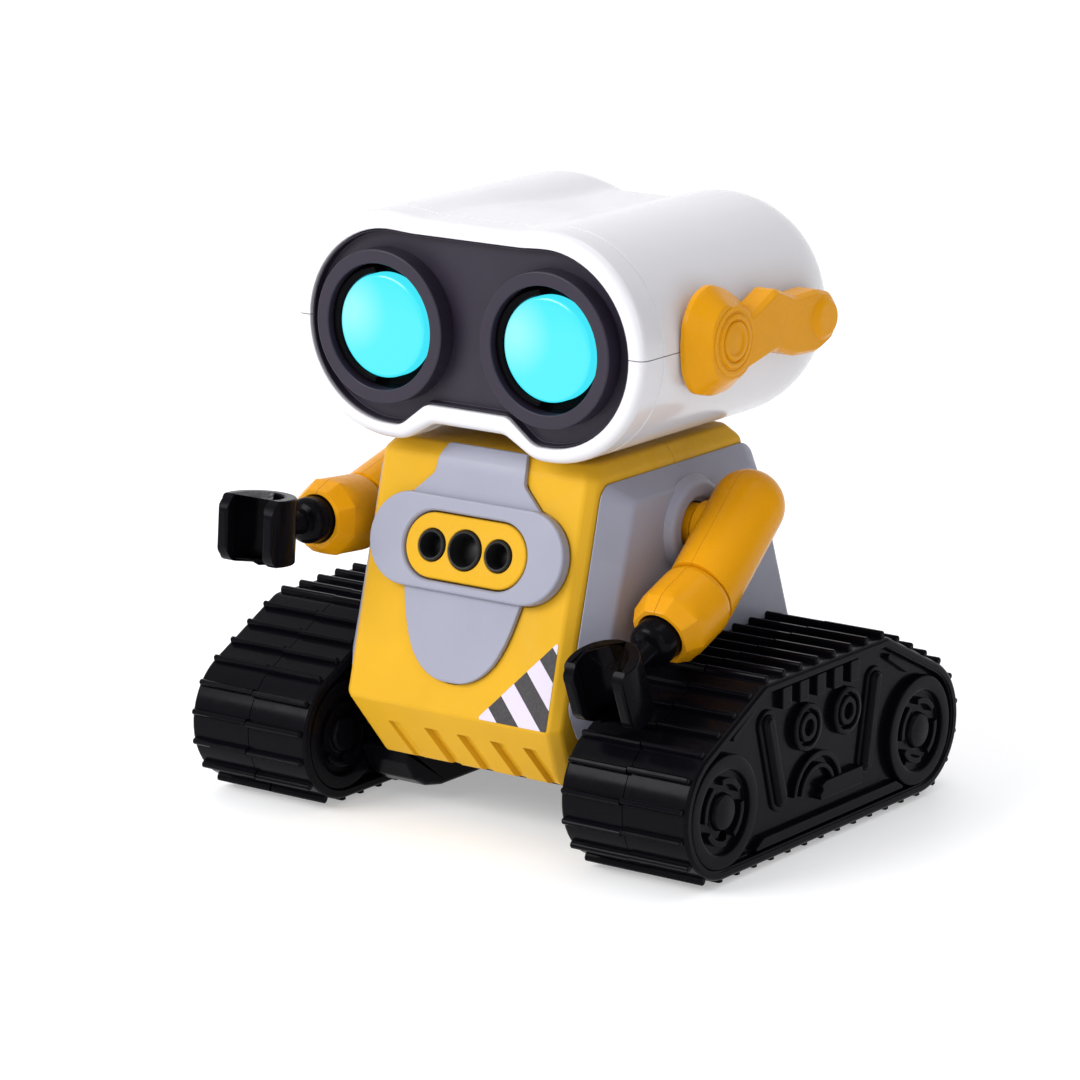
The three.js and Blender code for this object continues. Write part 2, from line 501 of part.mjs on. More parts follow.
for (const [side, s] of SIDES) {
  const arm = new THREE.Group();
  arm.position.set(s * ARM.x, ARM.pivotY, ARM.pivotZ);
  arm.rotation.x = -ARM_ANGLE[side] * DEG;
  robot.add(arm);

  const capR = ARM.upperR;
  const round = Array.from({ length: 5 }, (_, i) => i * 22.5 * DEG);
  const frontCap = round.slice(1).map((t) => [capR * Math.sin(t), -ARM.reach - capR * Math.cos(t)]);
  const rearCap = round.slice(0, -1).map((t) => [capR * Math.cos(t), ARM.back + capR * Math.sin(t)]);
  const sausage = turned("y", [
    [0, -ARM.reach - capR], ...frontCap, ...rearCap, [0, ARM.back + capR],
  ], [0, 0, 0], 20);
  const beyondElbow = bentAt(box(-BIG, BIG, -BIG, GAP / 2, -BIG, BIG));
  const spigot = bentAt(rod("y", 4, -4.6, 3, [0, 0, 0], 20));
  const upper = join(cut(sausage, beyondElbow), spigot);
  const stub = join(
    rod("x", ARM.stubR, 31.6 - ARM.x, -3, [0, 0, 0], 16),
    rod("x", ARM.stubR + 2.2, 29.6 - ARM.x, 31.9 - ARM.x, [0, 0, 0], 16),
  );
  const [innerSide, outerSide] = [between(-BIG, -GAP / 2), between(GAP / 2, BIG)];
  const innerHalf = join(upper, stub).intersect(innerSide);
  piece(`upper_arm_inner_${side}`, mirrorX(s, innerHalf), ARM_YELLOW, arm);
  piece(`upper_arm_outer_${side}`, mirrorX(s, upper.intersect(outerSide)), ARM_YELLOW, arm);

  const end = ARM.foreLength;
  const barrel = turned("y", [
    [4.3, -GAP / 2], [ARM.foreR - 0.6, -GAP / 2], [ARM.foreR, -0.8], [ARM.foreR, 4.2 - end],
    [ARM.collarR + 1.6, -end], [ARM.collarR + GAP, -end], [ARM.collarR + GAP, 2.4 - end],
    [3.5, 2.4 - end], [3.5, -10], [4.3, -10], [4.3, -GAP / 2],
  ], [0, 0, 0], 20);
  piece(`forearm_inner_${side}`, mirrorX(s, bentAt(barrel.intersect(innerSide))), ARM_YELLOW, arm);
  piece(`forearm_outer_${side}`, mirrorX(s, bentAt(barrel.intersect(outerSide))), ARM_YELLOW, arm);

  const clawY = -end - ARM.clawOffset;
  const h = ARM.clawHeight / 2;
  const ring = cut(
    pipe("z", ARM.clawR, ARM.clawBore, -h, h, [0, clawY, 0], 20),
    box(-ARM.mouthHalf - 0.2, ARM.mouthHalf + 0.2, clawY - 20, clawY, -h - 1, h + 1),
    box(-20, 20, clawY - 20, clawY - ARM.clawR + 4.2, -h - 1, h + 1),
  );
  const palmY = clawY + ARM.clawR - 1;
  const wrist = turned("y", [
    [0, 8.2 - end], [3.2, 8.2 - end], [3.2, 2 - end], [ARM.collarR, 2 - end], [ARM.collarR, -end - 5.2],
    [ARM.collarR - 1, -end - 6.2], [4, -end - 6.2], [3.2, palmY], [0, palmY],
  ], [0, 0, 0], 16);
  const hand = join(wrist, ring);
  piece(`hand_${side}`, mirrorX(s, bentAt(hand)), BLACK, arm);
}

// ---------------------------------------------------------------- track pods

// Circles whose common tangents make the pod's side outline, anticlockwise from below the front.
function podCircles(grow) {
  const half = TRACK.endSpan / 2;
  const top = TRACK.cornerSpan / 2;
  return [
    { y: TRACK.midY - half, z: TRACK.endZ, r: TRACK.endR + grow },
    { y: TRACK.midY + half, z: TRACK.endZ, r: TRACK.endR + grow },
    { y: TRACK.midY + top, z: TRACK.cornerZ, r: TRACK.cornerR + grow },
    { y: TRACK.midY - top, z: TRACK.cornerZ, r: TRACK.cornerR + grow },
  ];
}

// Walks the outline and returns points with their outward direction, about one per step.
function podWalk(grow, step) {
  const circles = podCircles(grow);
  const normals = circles.map((a, i) => {
    const b = circles[(i + 1) % circles.length];
    const [dy, dz] = [b.y - a.y, b.z - a.z];
    const d = Math.hypot(dy, dz);
    return Math.atan2(dz, dy) - Math.acos((a.r - b.r) / d);
  });
  const path = [];
  circles.forEach((c, i) => {
    const from = normals[(i + circles.length - 1) % circles.length];
    let to = normals[i];
    while (to < from) to += 2 * Math.PI;
    const steps = Math.max(2, Math.ceil(((to - from) * c.r) / step));
    for (let k = 0; k <= steps; k++) {
      const t = from + ((to - from) * k) / steps;
      path.push({ y: c.y + c.r * Math.cos(t), z: c.z + c.r * Math.sin(t), t });
    }
  });
  return path;
}

const podOutline = (grow, step = 5) => podWalk(grow, step).map(({ y, z }) => [y, z]);

// The place and outward direction at a length along a closed walk.
function along(path, length) {
  let left = length;
  for (let i = 0; ; i = (i + 1) % path.length) {
    const [a, b] = [path[i], path[(i + 1) % path.length]];
    const d = Math.hypot(b.y - a.y, b.z - a.z);
    if (left <= d) {
      const k = left / d;
      const [dy, dz] = [b.y - a.y, b.z - a.z];
      return { y: a.y + dy * k, z: a.z + dz * k, ny: dz / d, nz: -dy / d };
    }
    left -= d;
  }
}

// Outline of the belt with its ribs standing out.
function ribbedOutline() {
  const path = podWalk(0, 1.5);
  const total = path.reduce((sum, a, i) => {
    const b = path[(i + 1) % path.length];
    return sum + Math.hypot(b.y - a.y, b.z - a.z);
  }, 0);
  const count = Math.round(total / TRACK.pitch);
  const pitch = total / count;
  const points = [];
  const place = (length, height) => {
    const p = along(path, ((length % total) + total) % total);
    points.push([p.y + p.ny * height, p.z + p.nz * height]);
  };
  for (let i = 0; i < count; i++) {
    const start = i * pitch;
    place(start, 0);
    place(start + 0.2, TRACK.rib);
    place(start + 1.6, TRACK.rib);
    place(start + 1.8, 0);
  }
  return points;
}

const AXLES = [WHEEL.frontY, WHEEL.rearY];
const keepOff = below(TRACK.bottom);

// Side relief: two big wheel faces, two small rollers, two struts and the lower rail.
function sideRelief(face, proud) {
  const bar = (y0, z0, y1, z1, w) => {
    const d = Math.hypot(y1 - y0, z1 - z0);
    const [uy, uz] = [((y1 - y0) / d) * w, ((z1 - z0) / d) * w];
    const corners = [[y0 - uz, z0 + uy], [y0 + uz, z0 - uy], [y1 + uz, z1 - uy], [y1 - uz, z1 + uy]];
    return prism("x", corners, face - 0.5, face + proud);
  };
  const disc = (y, z, r, segments) => turned("x", [
    [0, face - 0.5], [r, face - 0.5], [r, face + proud], [r * 0.5, face + proud], [0, face + proud * 0.4],
  ], [0, y, z], segments);
  return join(
    ...[DISC.frontY, DISC.rearY].map((y) => disc(y, DISC.z, DISC.r, 18)),
    disc(1.2, 31, 6.3, 10), disc(19.9, 31.3, 6.3, 10),
    bar(-17.5, 40, -10, 14, 3), bar(34.4, 41, 30, 13, 3), bar(-22, 8, 39, 8, 3), bar(7, 13, 27, 13, 3.4),
  );
}

for (const [side, s] of SIDES) {
  const skinX = TRACK.outer - 1;
  const cavity = (x0, x1) => prism("x", podOutline(-TRACK.wall), x0, x1);
  const dish = (x0, x1) => prism("x", podOutline(-3.6), x0, x1);
  const slotHalf = WHEEL.halfWidth + 0.8;
  const slots = AXLES.map((y) => rod(
    "x", WHEEL.r + 0.8, TRACK.seam - slotHalf, TRACK.seam + slotHalf, [0, y, WHEEL.r], 24));
  const axleHoles = AXLES.map((y) => rod("x", WHEEL.axleR + 0.4, 30, 78, [0, y, WHEEL.r], 20));

  const outerBelt = prism("x", ribbedOutline(), TRACK.seam + GAP / 2, TRACK.outer);
  const outerHalf = join(
    cut(outerBelt, cavity(TRACK.seam - 1, skinX - 4), dish(skinX - 2, TRACK.outer + 1)),
    sideRelief(skinX - 2, 2.4),
  );
  piece(`track_outer_${side}`, mirrorX(s, cut(outerHalf, keepOff, ...slots, ...axleHoles)), BLACK);

  const innerBelt = prism("x", ribbedOutline(), TRACK.inner, TRACK.seam - GAP / 2);
  const relief = sideRelief(skinX - 2, 1.8).mirror([1, 0, 0]).translate([TRACK.inner + skinX + 1, 0, 0]);
  const innerHalf = join(
    cut(innerBelt, cavity(TRACK.inner + 5, TRACK.seam + 1), dish(TRACK.inner - 1, TRACK.inner + 3)),
    relief.intersect(between(TRACK.inner, TRACK.inner + 4)),
  );
  piece(`track_inner_${side}`, mirrorX(s, cut(innerHalf, keepOff, ...slots, ...axleHoles)), BLACK);

  AXLES.forEach((y, i) => {
    const name = i ? "rear" : "front";
    const [w, x] = [WHEEL.halfWidth, TRACK.seam];
    const centre = [0, y, WHEEL.r];
    const hub = i
      ? pipe("x", 8.6, WHEEL.axleR + 0.05, x - w + 0.6, x + w - 0.6, centre, 20)
      : join(rod("x", 8.6, x - w + 0.6, x + w - 0.6, centre), rod("x", WHEEL.axleR, 43, 76, centre, 16));
    const tyre = turned("x", [
      [8.9, x - w], [WHEEL.r - 0.8, x - w], [WHEEL.r, x - w + 1.2], [WHEEL.r, x + w - 1.2],
      [WHEEL.r - 0.8, x + w], [8.9, x + w], [8.9, x - w],
    ], centre, 20);
    piece(`${name}_wheel_${side}`, mirrorX(s, hub), BLACK);
    piece(`${name}_tyre_${side}`, mirrorX(s, tyre), RUBBER);
  });
}

// ---------------------------------------------------------------- drive

// A toothed outline round the origin, with a tooth centred on +angle 0 unless shifted.
function gearOutline(teeth, module, turn = 0) {
  const pitchR = (teeth * module) / 2;
  const points = [];
  for (let i = 0; i < teeth; i++) {
    const at = (i / teeth) * 2 * Math.PI + turn;
    const w = Math.PI / teeth;
    for (const [k, height] of [[-0.62, -1.15], [-0.28, 0.85], [0.28, 0.85], [0.62, -1.15]]) {
      const [r, angle] = [pitchR + height * module, at + k * w];
      points.push([r * Math.cos(angle), r * Math.sin(angle)]);
    }
  }
  return points;
}

const meshAngle = 50 * DEG; // direction from the axle to the motor shaft, forward and up
const meshLength = ((GEAR.driven + GEAR.pinion) * GEAR.module) / 2 + 0.25;
const motorY = WHEEL.rearY - meshLength * Math.cos(meshAngle);
const motorZ = WHEEL.r + meshLength * Math.sin(meshAngle);
for (const [side, s] of SIDES) {
  const toMotor = Math.PI - meshAngle;
  const gear = cut(
    prism("x", gearOutline(GEAR.driven, GEAR.module, toMotor), 0, GEAR.width),
    rod("x", WHEEL.axleR + 0.05, -1, 9, [0, 0, 0], 16),
  ).translate([GEAR.x, WHEEL.rearY, WHEEL.r]);
  piece(`drive_gear_${side}`, mirrorX(s, gear), finish(0xe8e4d8, 0.5));
  piece(`rear_axle_${side}`, mirrorX(s, rod("x", WHEEL.axleR, 1, 76, [0, WHEEL.rearY, WHEEL.r], 16)), STEEL);
  const pinion = join(
    prism("x", gearOutline(GEAR.pinion, GEAR.module, -meshAngle + Math.PI / GEAR.pinion), 0, GEAR.width),
    rod("x", 1, -0.5, 6, [0, 0, 0], 10),
  ).translate([GEAR.x, motorY, motorZ]);
  piece(`motor_pinion_${side}`, mirrorX(s, pinion), finish(0xe8e4d8, 0.5));
  const motorAt = [0, motorY, motorZ];
  const can = rod("x", 9, 7, 22.6, motorAt, 16);
  const motor = cut(can, above(motorZ + 7.5), rod("x", 1.3, 0, 12, motorAt, 12));
  piece(`motor_${side}`, mirrorX(s, motor), STEEL);
}

robot.position.y = -CENTRE_Y;
export default robot;
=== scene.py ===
"""Looks of the tracked toy robot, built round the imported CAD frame.

Shapes are worked out in millimetres in the design frame, where the head's front rim lies at
HEAD_FRONT on Y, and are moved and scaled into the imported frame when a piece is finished.
The robot looks along -Y. Its own left side is +X.
"""

from math import acos, atan, atan2, ceil, cos, degrees, hypot, pi, radians, sin, sqrt, tan

import bmesh
import bpy
import numpy as np
from mathutils import Matrix, Vector


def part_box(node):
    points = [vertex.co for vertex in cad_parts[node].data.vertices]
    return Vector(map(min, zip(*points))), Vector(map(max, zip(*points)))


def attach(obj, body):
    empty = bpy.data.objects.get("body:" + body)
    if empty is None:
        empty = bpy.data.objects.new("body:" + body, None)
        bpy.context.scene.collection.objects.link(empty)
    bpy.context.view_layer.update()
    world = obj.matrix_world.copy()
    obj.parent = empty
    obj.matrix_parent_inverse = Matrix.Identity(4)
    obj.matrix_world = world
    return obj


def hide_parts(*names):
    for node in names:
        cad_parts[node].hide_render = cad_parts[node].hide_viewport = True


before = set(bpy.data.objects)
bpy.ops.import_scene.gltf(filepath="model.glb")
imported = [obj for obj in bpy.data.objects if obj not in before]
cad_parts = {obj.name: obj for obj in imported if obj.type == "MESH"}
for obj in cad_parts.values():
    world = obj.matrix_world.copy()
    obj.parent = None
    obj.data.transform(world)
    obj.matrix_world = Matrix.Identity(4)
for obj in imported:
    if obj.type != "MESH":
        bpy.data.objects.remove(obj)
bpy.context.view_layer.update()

MM = 0.001
HEAD_FRONT = -40.0
BIG = 400.0
SEAM = 0.12  # half of the gap that shows along a parting line
SIDES = (("left", 1), ("right", -1))


SHIFT_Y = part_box("head_top_shell")[0][1] / MM - HEAD_FRONT


def design_box(node):
    """A CAD node's corners in the design frame."""
    return [np.array(corner) / MM - (0, SHIFT_Y, 0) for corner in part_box(node)]


# ---- mesh tools


def skin(rings, closed=True, caps=True, loop=False):
    """A surface over rings that all have the same count. A loop's last ring joins its first."""
    count, total = len(rings[0]), len(rings)
    points = [tuple(p) for ring in rings for p in ring]
    faces = []
    for r in range(total if loop else total - 1):
        here, after = r * count, (r + 1) % total * count
        for i in range(count if closed else count - 1):
            j = (i + 1) % count
            faces.append((here + i, here + j, after + j, after + i))
    if caps and not loop:
        faces.append(tuple(range(count))[::-1])
        faces.append(tuple(range(len(points) - count, len(points))))
    return points, faces


def lathe(profile, segments=64, radius=None):
    """A profile of (radius, height) turned about Z. It ends on the axis or closes on itself."""
    on_axis = profile[0][0] < 1e-6
    reach = radius or (lambda r, t, angle: r)
    angles = [2 * pi * i / segments for i in range(segments)]
    rings = [[(reach(r, t, a) * cos(a), reach(r, t, a) * sin(a), t) for a in angles] for r, t in profile]
    return skin(rings, caps=False, loop=not on_axis)


def rounded(points, radius, step=12):
    """A closed outline with its corners turned into arcs. radius is one number or one a corner."""
    count = len(points)
    radii = radius if hasattr(radius, "__len__") else [radius] * count
    out = []
    for i, r in enumerate(radii):
        before, here, after = (np.array(points[(i + k) % count], float) for k in (-1, 0, 1))
        to_before, to_after = before - here, after - here
        length_before, length_after = np.linalg.norm(to_before), np.linalg.norm(to_after)
        to_before, to_after = to_before / length_before, to_after / length_after
        half = acos(max(-1, min(1, float(to_before @ to_after)))) / 2
        if r <= 0 or half > radians(88):
            out.append(tuple(here))
            continue
        reach = min(r / tan(half), 0.49 * length_before, 0.49 * length_after)
        middle = to_before + to_after
        centre = here + middle / np.linalg.norm(middle) * (reach * tan(half) / sin(half))
        start, end = here + to_before * reach - centre, here + to_after * reach - centre
        turn = atan2(start[0] * end[1] - start[1] * end[0], float(start @ end))
        steps = max(2, round(abs(degrees(turn)) / step))
        for k in range(steps + 1):
            c, s = cos(turn * k / steps), sin(turn * k / steps)
            out.append(tuple(centre + (c * start[0] - s * start[1], c * start[1] + s * start[0])))
    return out


def rectangle(u, v, radius):
    """A rounded rectangle that reaches u and v from its middle."""
    return rounded([(-u, -v), (u, -v), (u, v), (-u, v)], radius)


def offset(outline, inwards):
    """Moves a closed outline inwards along its own normals. The outline runs anticlockwise."""
    p = np.array(outline, float)
    ahead = np.roll(p, -1, axis=0) - p
    ahead /= np.linalg.norm(ahead, axis=1)[:, None] + 1e-12
    both = ahead + np.roll(ahead, 1, axis=0)
    left = np.stack([-both[:, 1], both[:, 0]], 1)
    size = (left ** 2).sum(1)[:, None]
    return p + left * 2 * inwards / np.maximum(size, 1.2)


def anticlockwise(outline):
    p = np.array(outline, float)
    area = (p[:, 0] * np.roll(p[:, 1], -1) - p[:, 1] * np.roll(p[:, 0], -1)).sum()
    return [tuple(q) for q in (p if area > 0 else p[::-1])]


def moved(shape, matrix):
    points, faces = shape
    return [tuple(matrix @ Vector(p)) for p in points], faces


def plate(outline, levels, at=Matrix(), corner=0):
    """An outline stacked at (inset, height) levels. A corner radius rounds each level afresh."""
    outline = anticlockwise(outline)
    rings = [offset(outline, inset) for inset, _ in levels]
    if corner:
        rings = [same_count(ring, corner) for ring in rings]
    return moved(skin([[(u, v, h) for u, v in ring] for ring, (_, h) in zip(rings, levels)]), at)


def turned(profile, segments, at, radius=None):
    return moved(lathe(profile, segments, radius), at)


def plug(r, low, high):
    """The profile of a plain round bar."""
    return [(0, low), (r, low), (r, high), (0, high)]


def edge_levels(low, high, r, steps=4, back=0.0):
    """Levels of a plate whose upper edge is rounded with radius r, and its lower edge with back."""
    turn = [pi / 2 * k / steps for k in range(steps + 1)]
    under = [(back * (1 - sin(a)), low + back * (1 - cos(a))) for a in turn] if back else [(0, low)]
    return under + [(r * (1 - cos(a)), high - r * (1 - sin(a))) for a in turn]


def same_count(points, radius, pieces=5):
    """Rounds corners with the same number of points at each, so outlines can be blended."""
    out = []
    for i, here in enumerate(points):
        a, h, b = (np.array(p, float) for p in (points[i - 1], here, points[(i + 1) % len(points)]))
        before, after = np.linalg.norm(a - h), np.linalg.norm(b - h)
        reach = min(radius, 0.45 * before, 0.45 * after)
        start, end = h + (a - h) / before * reach, h + (b - h) / after * reach
        for t in (k / pieces for k in range(pieces + 1)):
            out.append(start * (1 - t) ** 2 + 2 * h * t * (1 - t) + end * t * t)
    return np.array(out)


def arc(cu, cv, r, start, end, steps):
    angles = [radians(start + (end - start) * i / steps) for i in range(steps + 1)]
    return [(cu + r * cos(a), cv + r * sin(a)) for a in angles]


def raised(by, points, out=0.0):
    """A profile written from a level (and, if given, a radius) of its own."""
    return [(r + out, t + by) for r, t in points]


def box(x0, x1, y0, y1, z0, z1):
    ring = [(x0, y0), (x1, y0), (x1, y1), (x0, y1)]
    return skin([[(x, y, z) for x, y in ring] for z in (z0, z1)])


def slab(axis, low, high):
    """All of the space between two heights on one axis."""
    ends = [-BIG, BIG] * 3
    ends[2 * axis:2 * axis + 2] = low, high
    return box(*ends)


def axes(x, y, z, at=(0, 0, 0)):
    """A matrix that takes the local axes to these directions, at a place."""
    m = Matrix((x, y, z)).transposed().to_4x4()
    m.translation = at
    return m


def along_x(at=(0, 0, 0), side=1):
    """Takes a shape drawn on (u, v) with height h to Y, Z and outwards X."""
    return axes((0, 1, 0), (0, 0, 1), (side, 0, 0), at)


def along_y(at=(0, 0, 0)):
    """Takes a shape drawn on (u, v) with height h to X, Z and -Y, towards the viewer."""
    return axes((1, 0, 0), (0, 0, 1), (0, -1, 0), at)


def placed(name, data):
    """A new object in the scene."""
    thing = bpy.data.objects.new(name, data)
    bpy.context.scene.collection.objects.link(thing)
    return thing


def raw(name, shape):
    """One mesh object in millimetres."""
    made = bmesh.new()
    points, faces = shape
    verts = [made.verts.new(p) for p in points]
    for face in faces:
        made.faces.new([verts[i] for i in face])
    bmesh.ops.remove_doubles(made, verts=made.verts, dist=1e-4)
    bmesh.ops.dissolve_degenerate(made, edges=made.edges, dist=1e-5)
    bmesh.ops.recalc_face_normals(made, faces=made.faces)
    mesh = bpy.data.meshes.new(name)
    made.to_mesh(mesh)
    made.free()
    return placed(name, mesh)


def settle(thing):
    """Turns an object's modifiers into its mesh."""
    graph = bpy.context.evaluated_depsgraph_get()
    made = bpy.data.meshes.new_from_object(thing.evaluated_get(graph), depsgraph=graph)
    old = thing.data
    thing.modifiers.clear()
    thing.data = made
    bpy.data.meshes.remove(old)
    return thing


def combine(thing, operation, tools):
    """Works each tool, an object or a shape, into a piece."""
    for tool in tools:
        if not isinstance(tool, bpy.types.Object):
            tool = raw("tool", tool)
        change = thing.modifiers.new("cut", "BOOLEAN")
        change.object, change.operation, change.solver = tool, operation, "MANIFOLD"
        settle(thing)
        bpy.data.objects.remove(tool)
    return thing


def cut(thing, *tools):
    return combine(thing, "DIFFERENCE", tools)


def join(thing, *tools):
    return combine(thing, "UNION", tools)


def keep(thing, *tools):
    return combine(thing, "INTERSECT", tools)


def copy_of(thing):
    return placed(thing.name, thing.data.copy())


def bevel(thing, width, segments=3, angle=30):
    soft = thing.modifiers.new("edge", "BEVEL")
    soft.width, soft.segments, soft.angle_limit = width, segments, radians(angle)
    soft.limit_method, soft.use_clamp_overlap, soft.miter_outer = "ANGLE", True, "MITER_ARC"
    return settle(thing)


def finish(thing, body, materials, node, sharp=32):
    """Scales a piece into the frame, shades it and hangs it on its body in place of its CAD node."""
    thing.name = node + "_skin"
    mesh = thing.data
    mesh.transform(Matrix.Diagonal((MM, MM, MM, 1)) @ Matrix.Translation((0, SHIFT_Y, 0)))
    mesh.materials.clear()
    for look in materials if isinstance(materials, list) else [materials]:
        mesh.materials.append(look)
    made = bmesh.new()
    made.from_mesh(mesh)
    for edge in made.edges:
        edge.smooth = len(edge.link_faces) == 2 and edge.calc_face_angle(0) < radians(sharp)
    for face in made.faces:
        face.smooth = True
    made.to_mesh(mesh)
    made.free()
    normals = thing.modifiers.new("normals", "WEIGHTED_NORMAL")
    normals.keep_sharp, normals.weight = True, 60
    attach(thing, body)
    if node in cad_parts:
        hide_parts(node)


def paint(thing, second):
    """Gives a face the second material where second(centre, normal) holds, in the design frame."""
    for face in thing.data.polygons:
        face.material_index = int(second(np.array(face.center), np.array(face.normal)))


# ---- materials


class Nodes:
    """A node tree, with short ways to add and join nodes."""

    def __init__(self, owner, shader="Principled BSDF"):
        owner.use_nodes = True
        self.owner, self.tree = owner, owner.node_tree
        self.shader = self.tree.nodes[shader]
        self.coordinates = self.add("ShaderNodeTexCoord").outputs

    def feed(self, socket, value):
        """Links a socket to its source, or sets it to a plain value."""
        if isinstance(value, bpy.types.NodeSocket):
            self.tree.links.new(value, socket)
        else:
            socket.default_value = value

    def add(self, kind, inputs=None, **settings):
        made = self.tree.nodes.new(kind)
        for key, value in settings.items():
            setattr(made, key, value)
        for key, value in (inputs or {}).items():
            self.feed(made.inputs[key], value)
        return made

    def noise(self, scale, detail=2.0, stretch=None, distortion=0.0):
        place = self.coordinates["Object"]
        if stretch:
            place = self.add("ShaderNodeMapping", {"Vector": place, "Scale": stretch}).outputs[0]
        inputs = {"Vector": place, "Scale": scale, "Detail": detail, "Distortion": distortion}
        return self.add("ShaderNodeTexNoise", inputs).outputs["Fac"]

    def ramp(self, source, low, high, out_low=0.0, out_high=1.0):
        names = ("Value", "From Min", "From Max", "To Min", "To Max")
        inputs = dict(zip(names, (source, low, high, out_low, out_high)))
        return self.add("ShaderNodeMapRange", inputs).outputs[0]

    def vary(self, scale, detail=2.0, low=0.0, high=1.0):
        """A value that drifts between two limits over the piece."""
        return self.ramp(self.noise(scale, detail), 0.3, 0.7, low, high)

    def mix(self, factor, a, b):
        return self.add("ShaderNodeMix", {0: factor, 6: a, 7: b}, data_type="RGBA").outputs[2]

    def math(self, operation, a, b):
        return self.add("ShaderNodeMath", {0: a, 1: b}, operation=operation).outputs[0]

    def measure(self, operation, a, b):
        return self.add("ShaderNodeVectorMath", {0: a, 1: b}, operation=operation).outputs["Value"]

    def bump(self, height, distance, strength, under=None):
        inputs = {"Height": height, "Distance": distance, "Strength": strength}
        if under is not None:
            inputs["Normal"] = under
        return self.add("ShaderNodeBump", inputs).outputs["Normal"]

    def use(self, **values):
        for key, value in values.items():
            self.feed(self.shader.inputs[key.replace("_", " ")], value)
        return self.owner


def fresh(name):
    return Nodes(bpy.data.materials.new(name))


def shade(colour, factor=1.0):
    return tuple(min(1.0, c * factor) for c in colour[:3]) + (1.0,)


def plastic(name, colour, rough, texture=0.0, peel=0.0, coat=0.0, mottle=0.05, edge=0.12, spread=0.06,
            shine=0.5):
    """Moulded plastic: slow colour drift, a grained or wavy skin, smudged gloss, paler rubbed edges."""
    n = fresh(name)
    base = n.mix(n.vary(70, 3), shade(colour, 1 - mottle), shade(colour, 1 + mottle))
    specks = n.ramp(n.noise(2600, 1), 0.62, 0.78, 0, 0.35 * mottle)
    base = n.mix(specks, base, shade(colour, 0.6))
    corners = n.ramp(n.add("ShaderNodeNewGeometry").outputs["Pointiness"], 0.52, 0.6)
    patchy = n.math("MULTIPLY", corners, n.ramp(n.noise(420, 3), 0.35, 0.65, 0.2, 1))
    pale = shade([c * 0.6 + 0.4 * max(colour) for c in colour], 1.25)
    base = n.mix(n.math("MULTIPLY", patchy, edge), base, pale)
    smudge = n.ramp(n.noise(160, 4, distortion=1.2), 0.3, 0.75, rough - spread / 2, rough + spread)
    hairline = n.ramp(n.noise(900, 2, (1, 0.06, 0.35)), 0.66, 0.74, 0, spread)
    gloss = n.math("SUBTRACT", n.math("ADD", smudge, hairline), n.math("MULTIPLY", patchy, spread))
    normal = n.bump(n.noise(330, 1.5), 0.00006, peel) if peel else None
    if texture:
        normal = n.bump(n.noise(4200, 2), 0.00003, texture, normal)
    if normal is not None:
        n.use(Normal=normal)
    return n.use(Base_Color=base, Roughness=gloss, Coat_Weight=coat, Coat_Roughness=0.06,
                 Specular_IOR_Level=shine)


def glowing(name, colour, strength, centre, radius):
    """The lit lens: an even glow under a gloss skin, with a painted highlight that pales it towards its
    upper inner corner.
    """
    n = fresh(name)
    away = n.measure("DISTANCE", n.coordinates["Object"], centre)
    # painted highlight: the glow is mixed towards white round a fixed spot on the dome
    painted_highlight = n.ramp(away, 0.15 * radius, 0.95 * radius, 0.5, 0)
    fleck = n.vary(700, 2, 0.97, 1)
    glow = n.mix(fleck, shade(colour, 0.9), n.mix(painted_highlight, shade(colour), (0.55, 1, 1, 1)))
    return n.use(Emission_Color=glow, Emission_Strength=strength, Base_Color=(0, 0.05, 0.06, 1),
                 Roughness=n.vary(260, 3, 0.12, 0.2))


def metal(name, colour, rough):
    """Drawn steel: fine lines along the piece and a little tarnish."""
    n = fresh(name)
    lines = n.noise(2400, 2, (0.05, 1, 1))
    tarnish = n.mix(n.ramp(n.noise(300), 0.35, 0.7), shade(colour), shade(colour, 0.75))
    return n.use(Base_Color=tarnish, Roughness=n.ramp(lines, 0.3, 0.7, rough - 0.06, rough + 0.12),
                 Normal=n.bump(lines, 0.00001, 0.4), Metallic=1)


def rubber(name, colour):
    """Tyre rubber: matt, with a dusty bloom and a coarse skin."""
    n = fresh(name)
    dust = n.ramp(n.noise(500, 4), 0.5, 0.75, 0, 0.5)
    return n.use(Base_Color=n.mix(dust, shade(colour), shade(colour, 2.4)),
                 Roughness=n.vary(900, 3, 0.72, 0.92),
                 Normal=n.bump(n.noise(2200, 3), 0.00005, 0.7))


def circuit(name, colour):
    """A circuit board: fine copper tracks under green lacquer."""
    n = fresh(name)
    tones = {"Color1": shade(colour), "Color2": shade(colour, 1.3), "Mortar": (0.35, 0.3, 0.1, 1)}
    cells = n.add("ShaderNodeTexBrick", {"Vector": n.coordinates["Object"], "Scale": 180, **tones})
    return n.use(Base_Color=cells.outputs["Color"], Roughness=n.vary(400, 2, 0.3, 0.5))


def striped(name, dark, pale, direction, width, start):
    """Printed sticker: slanted bars in two tones, with a fine paper tooth."""
    n = fresh(name)
    reach = n.measure("DOT_PRODUCT", n.coordinates["Object"], direction)
    turn = n.math("MULTIPLY", n.math("SUBTRACT", reach, start), 1 / width)
    bar = n.math("GREATER_THAN", n.math("FRACT", turn, 0.0), 0.5)
    worn = n.vary(1500, 3, 0.93, 1)
    print_tone = n.mix(bar, shade(pale), shade(dark))
    return n.use(Base_Color=n.mix(worn, (0.35, 0.3, 0.3, 1), print_tone),
                 Roughness=n.vary(600, 2, 0.35, 0.5), Normal=n.bump(n.noise(3000), 0.00001, 0.5))


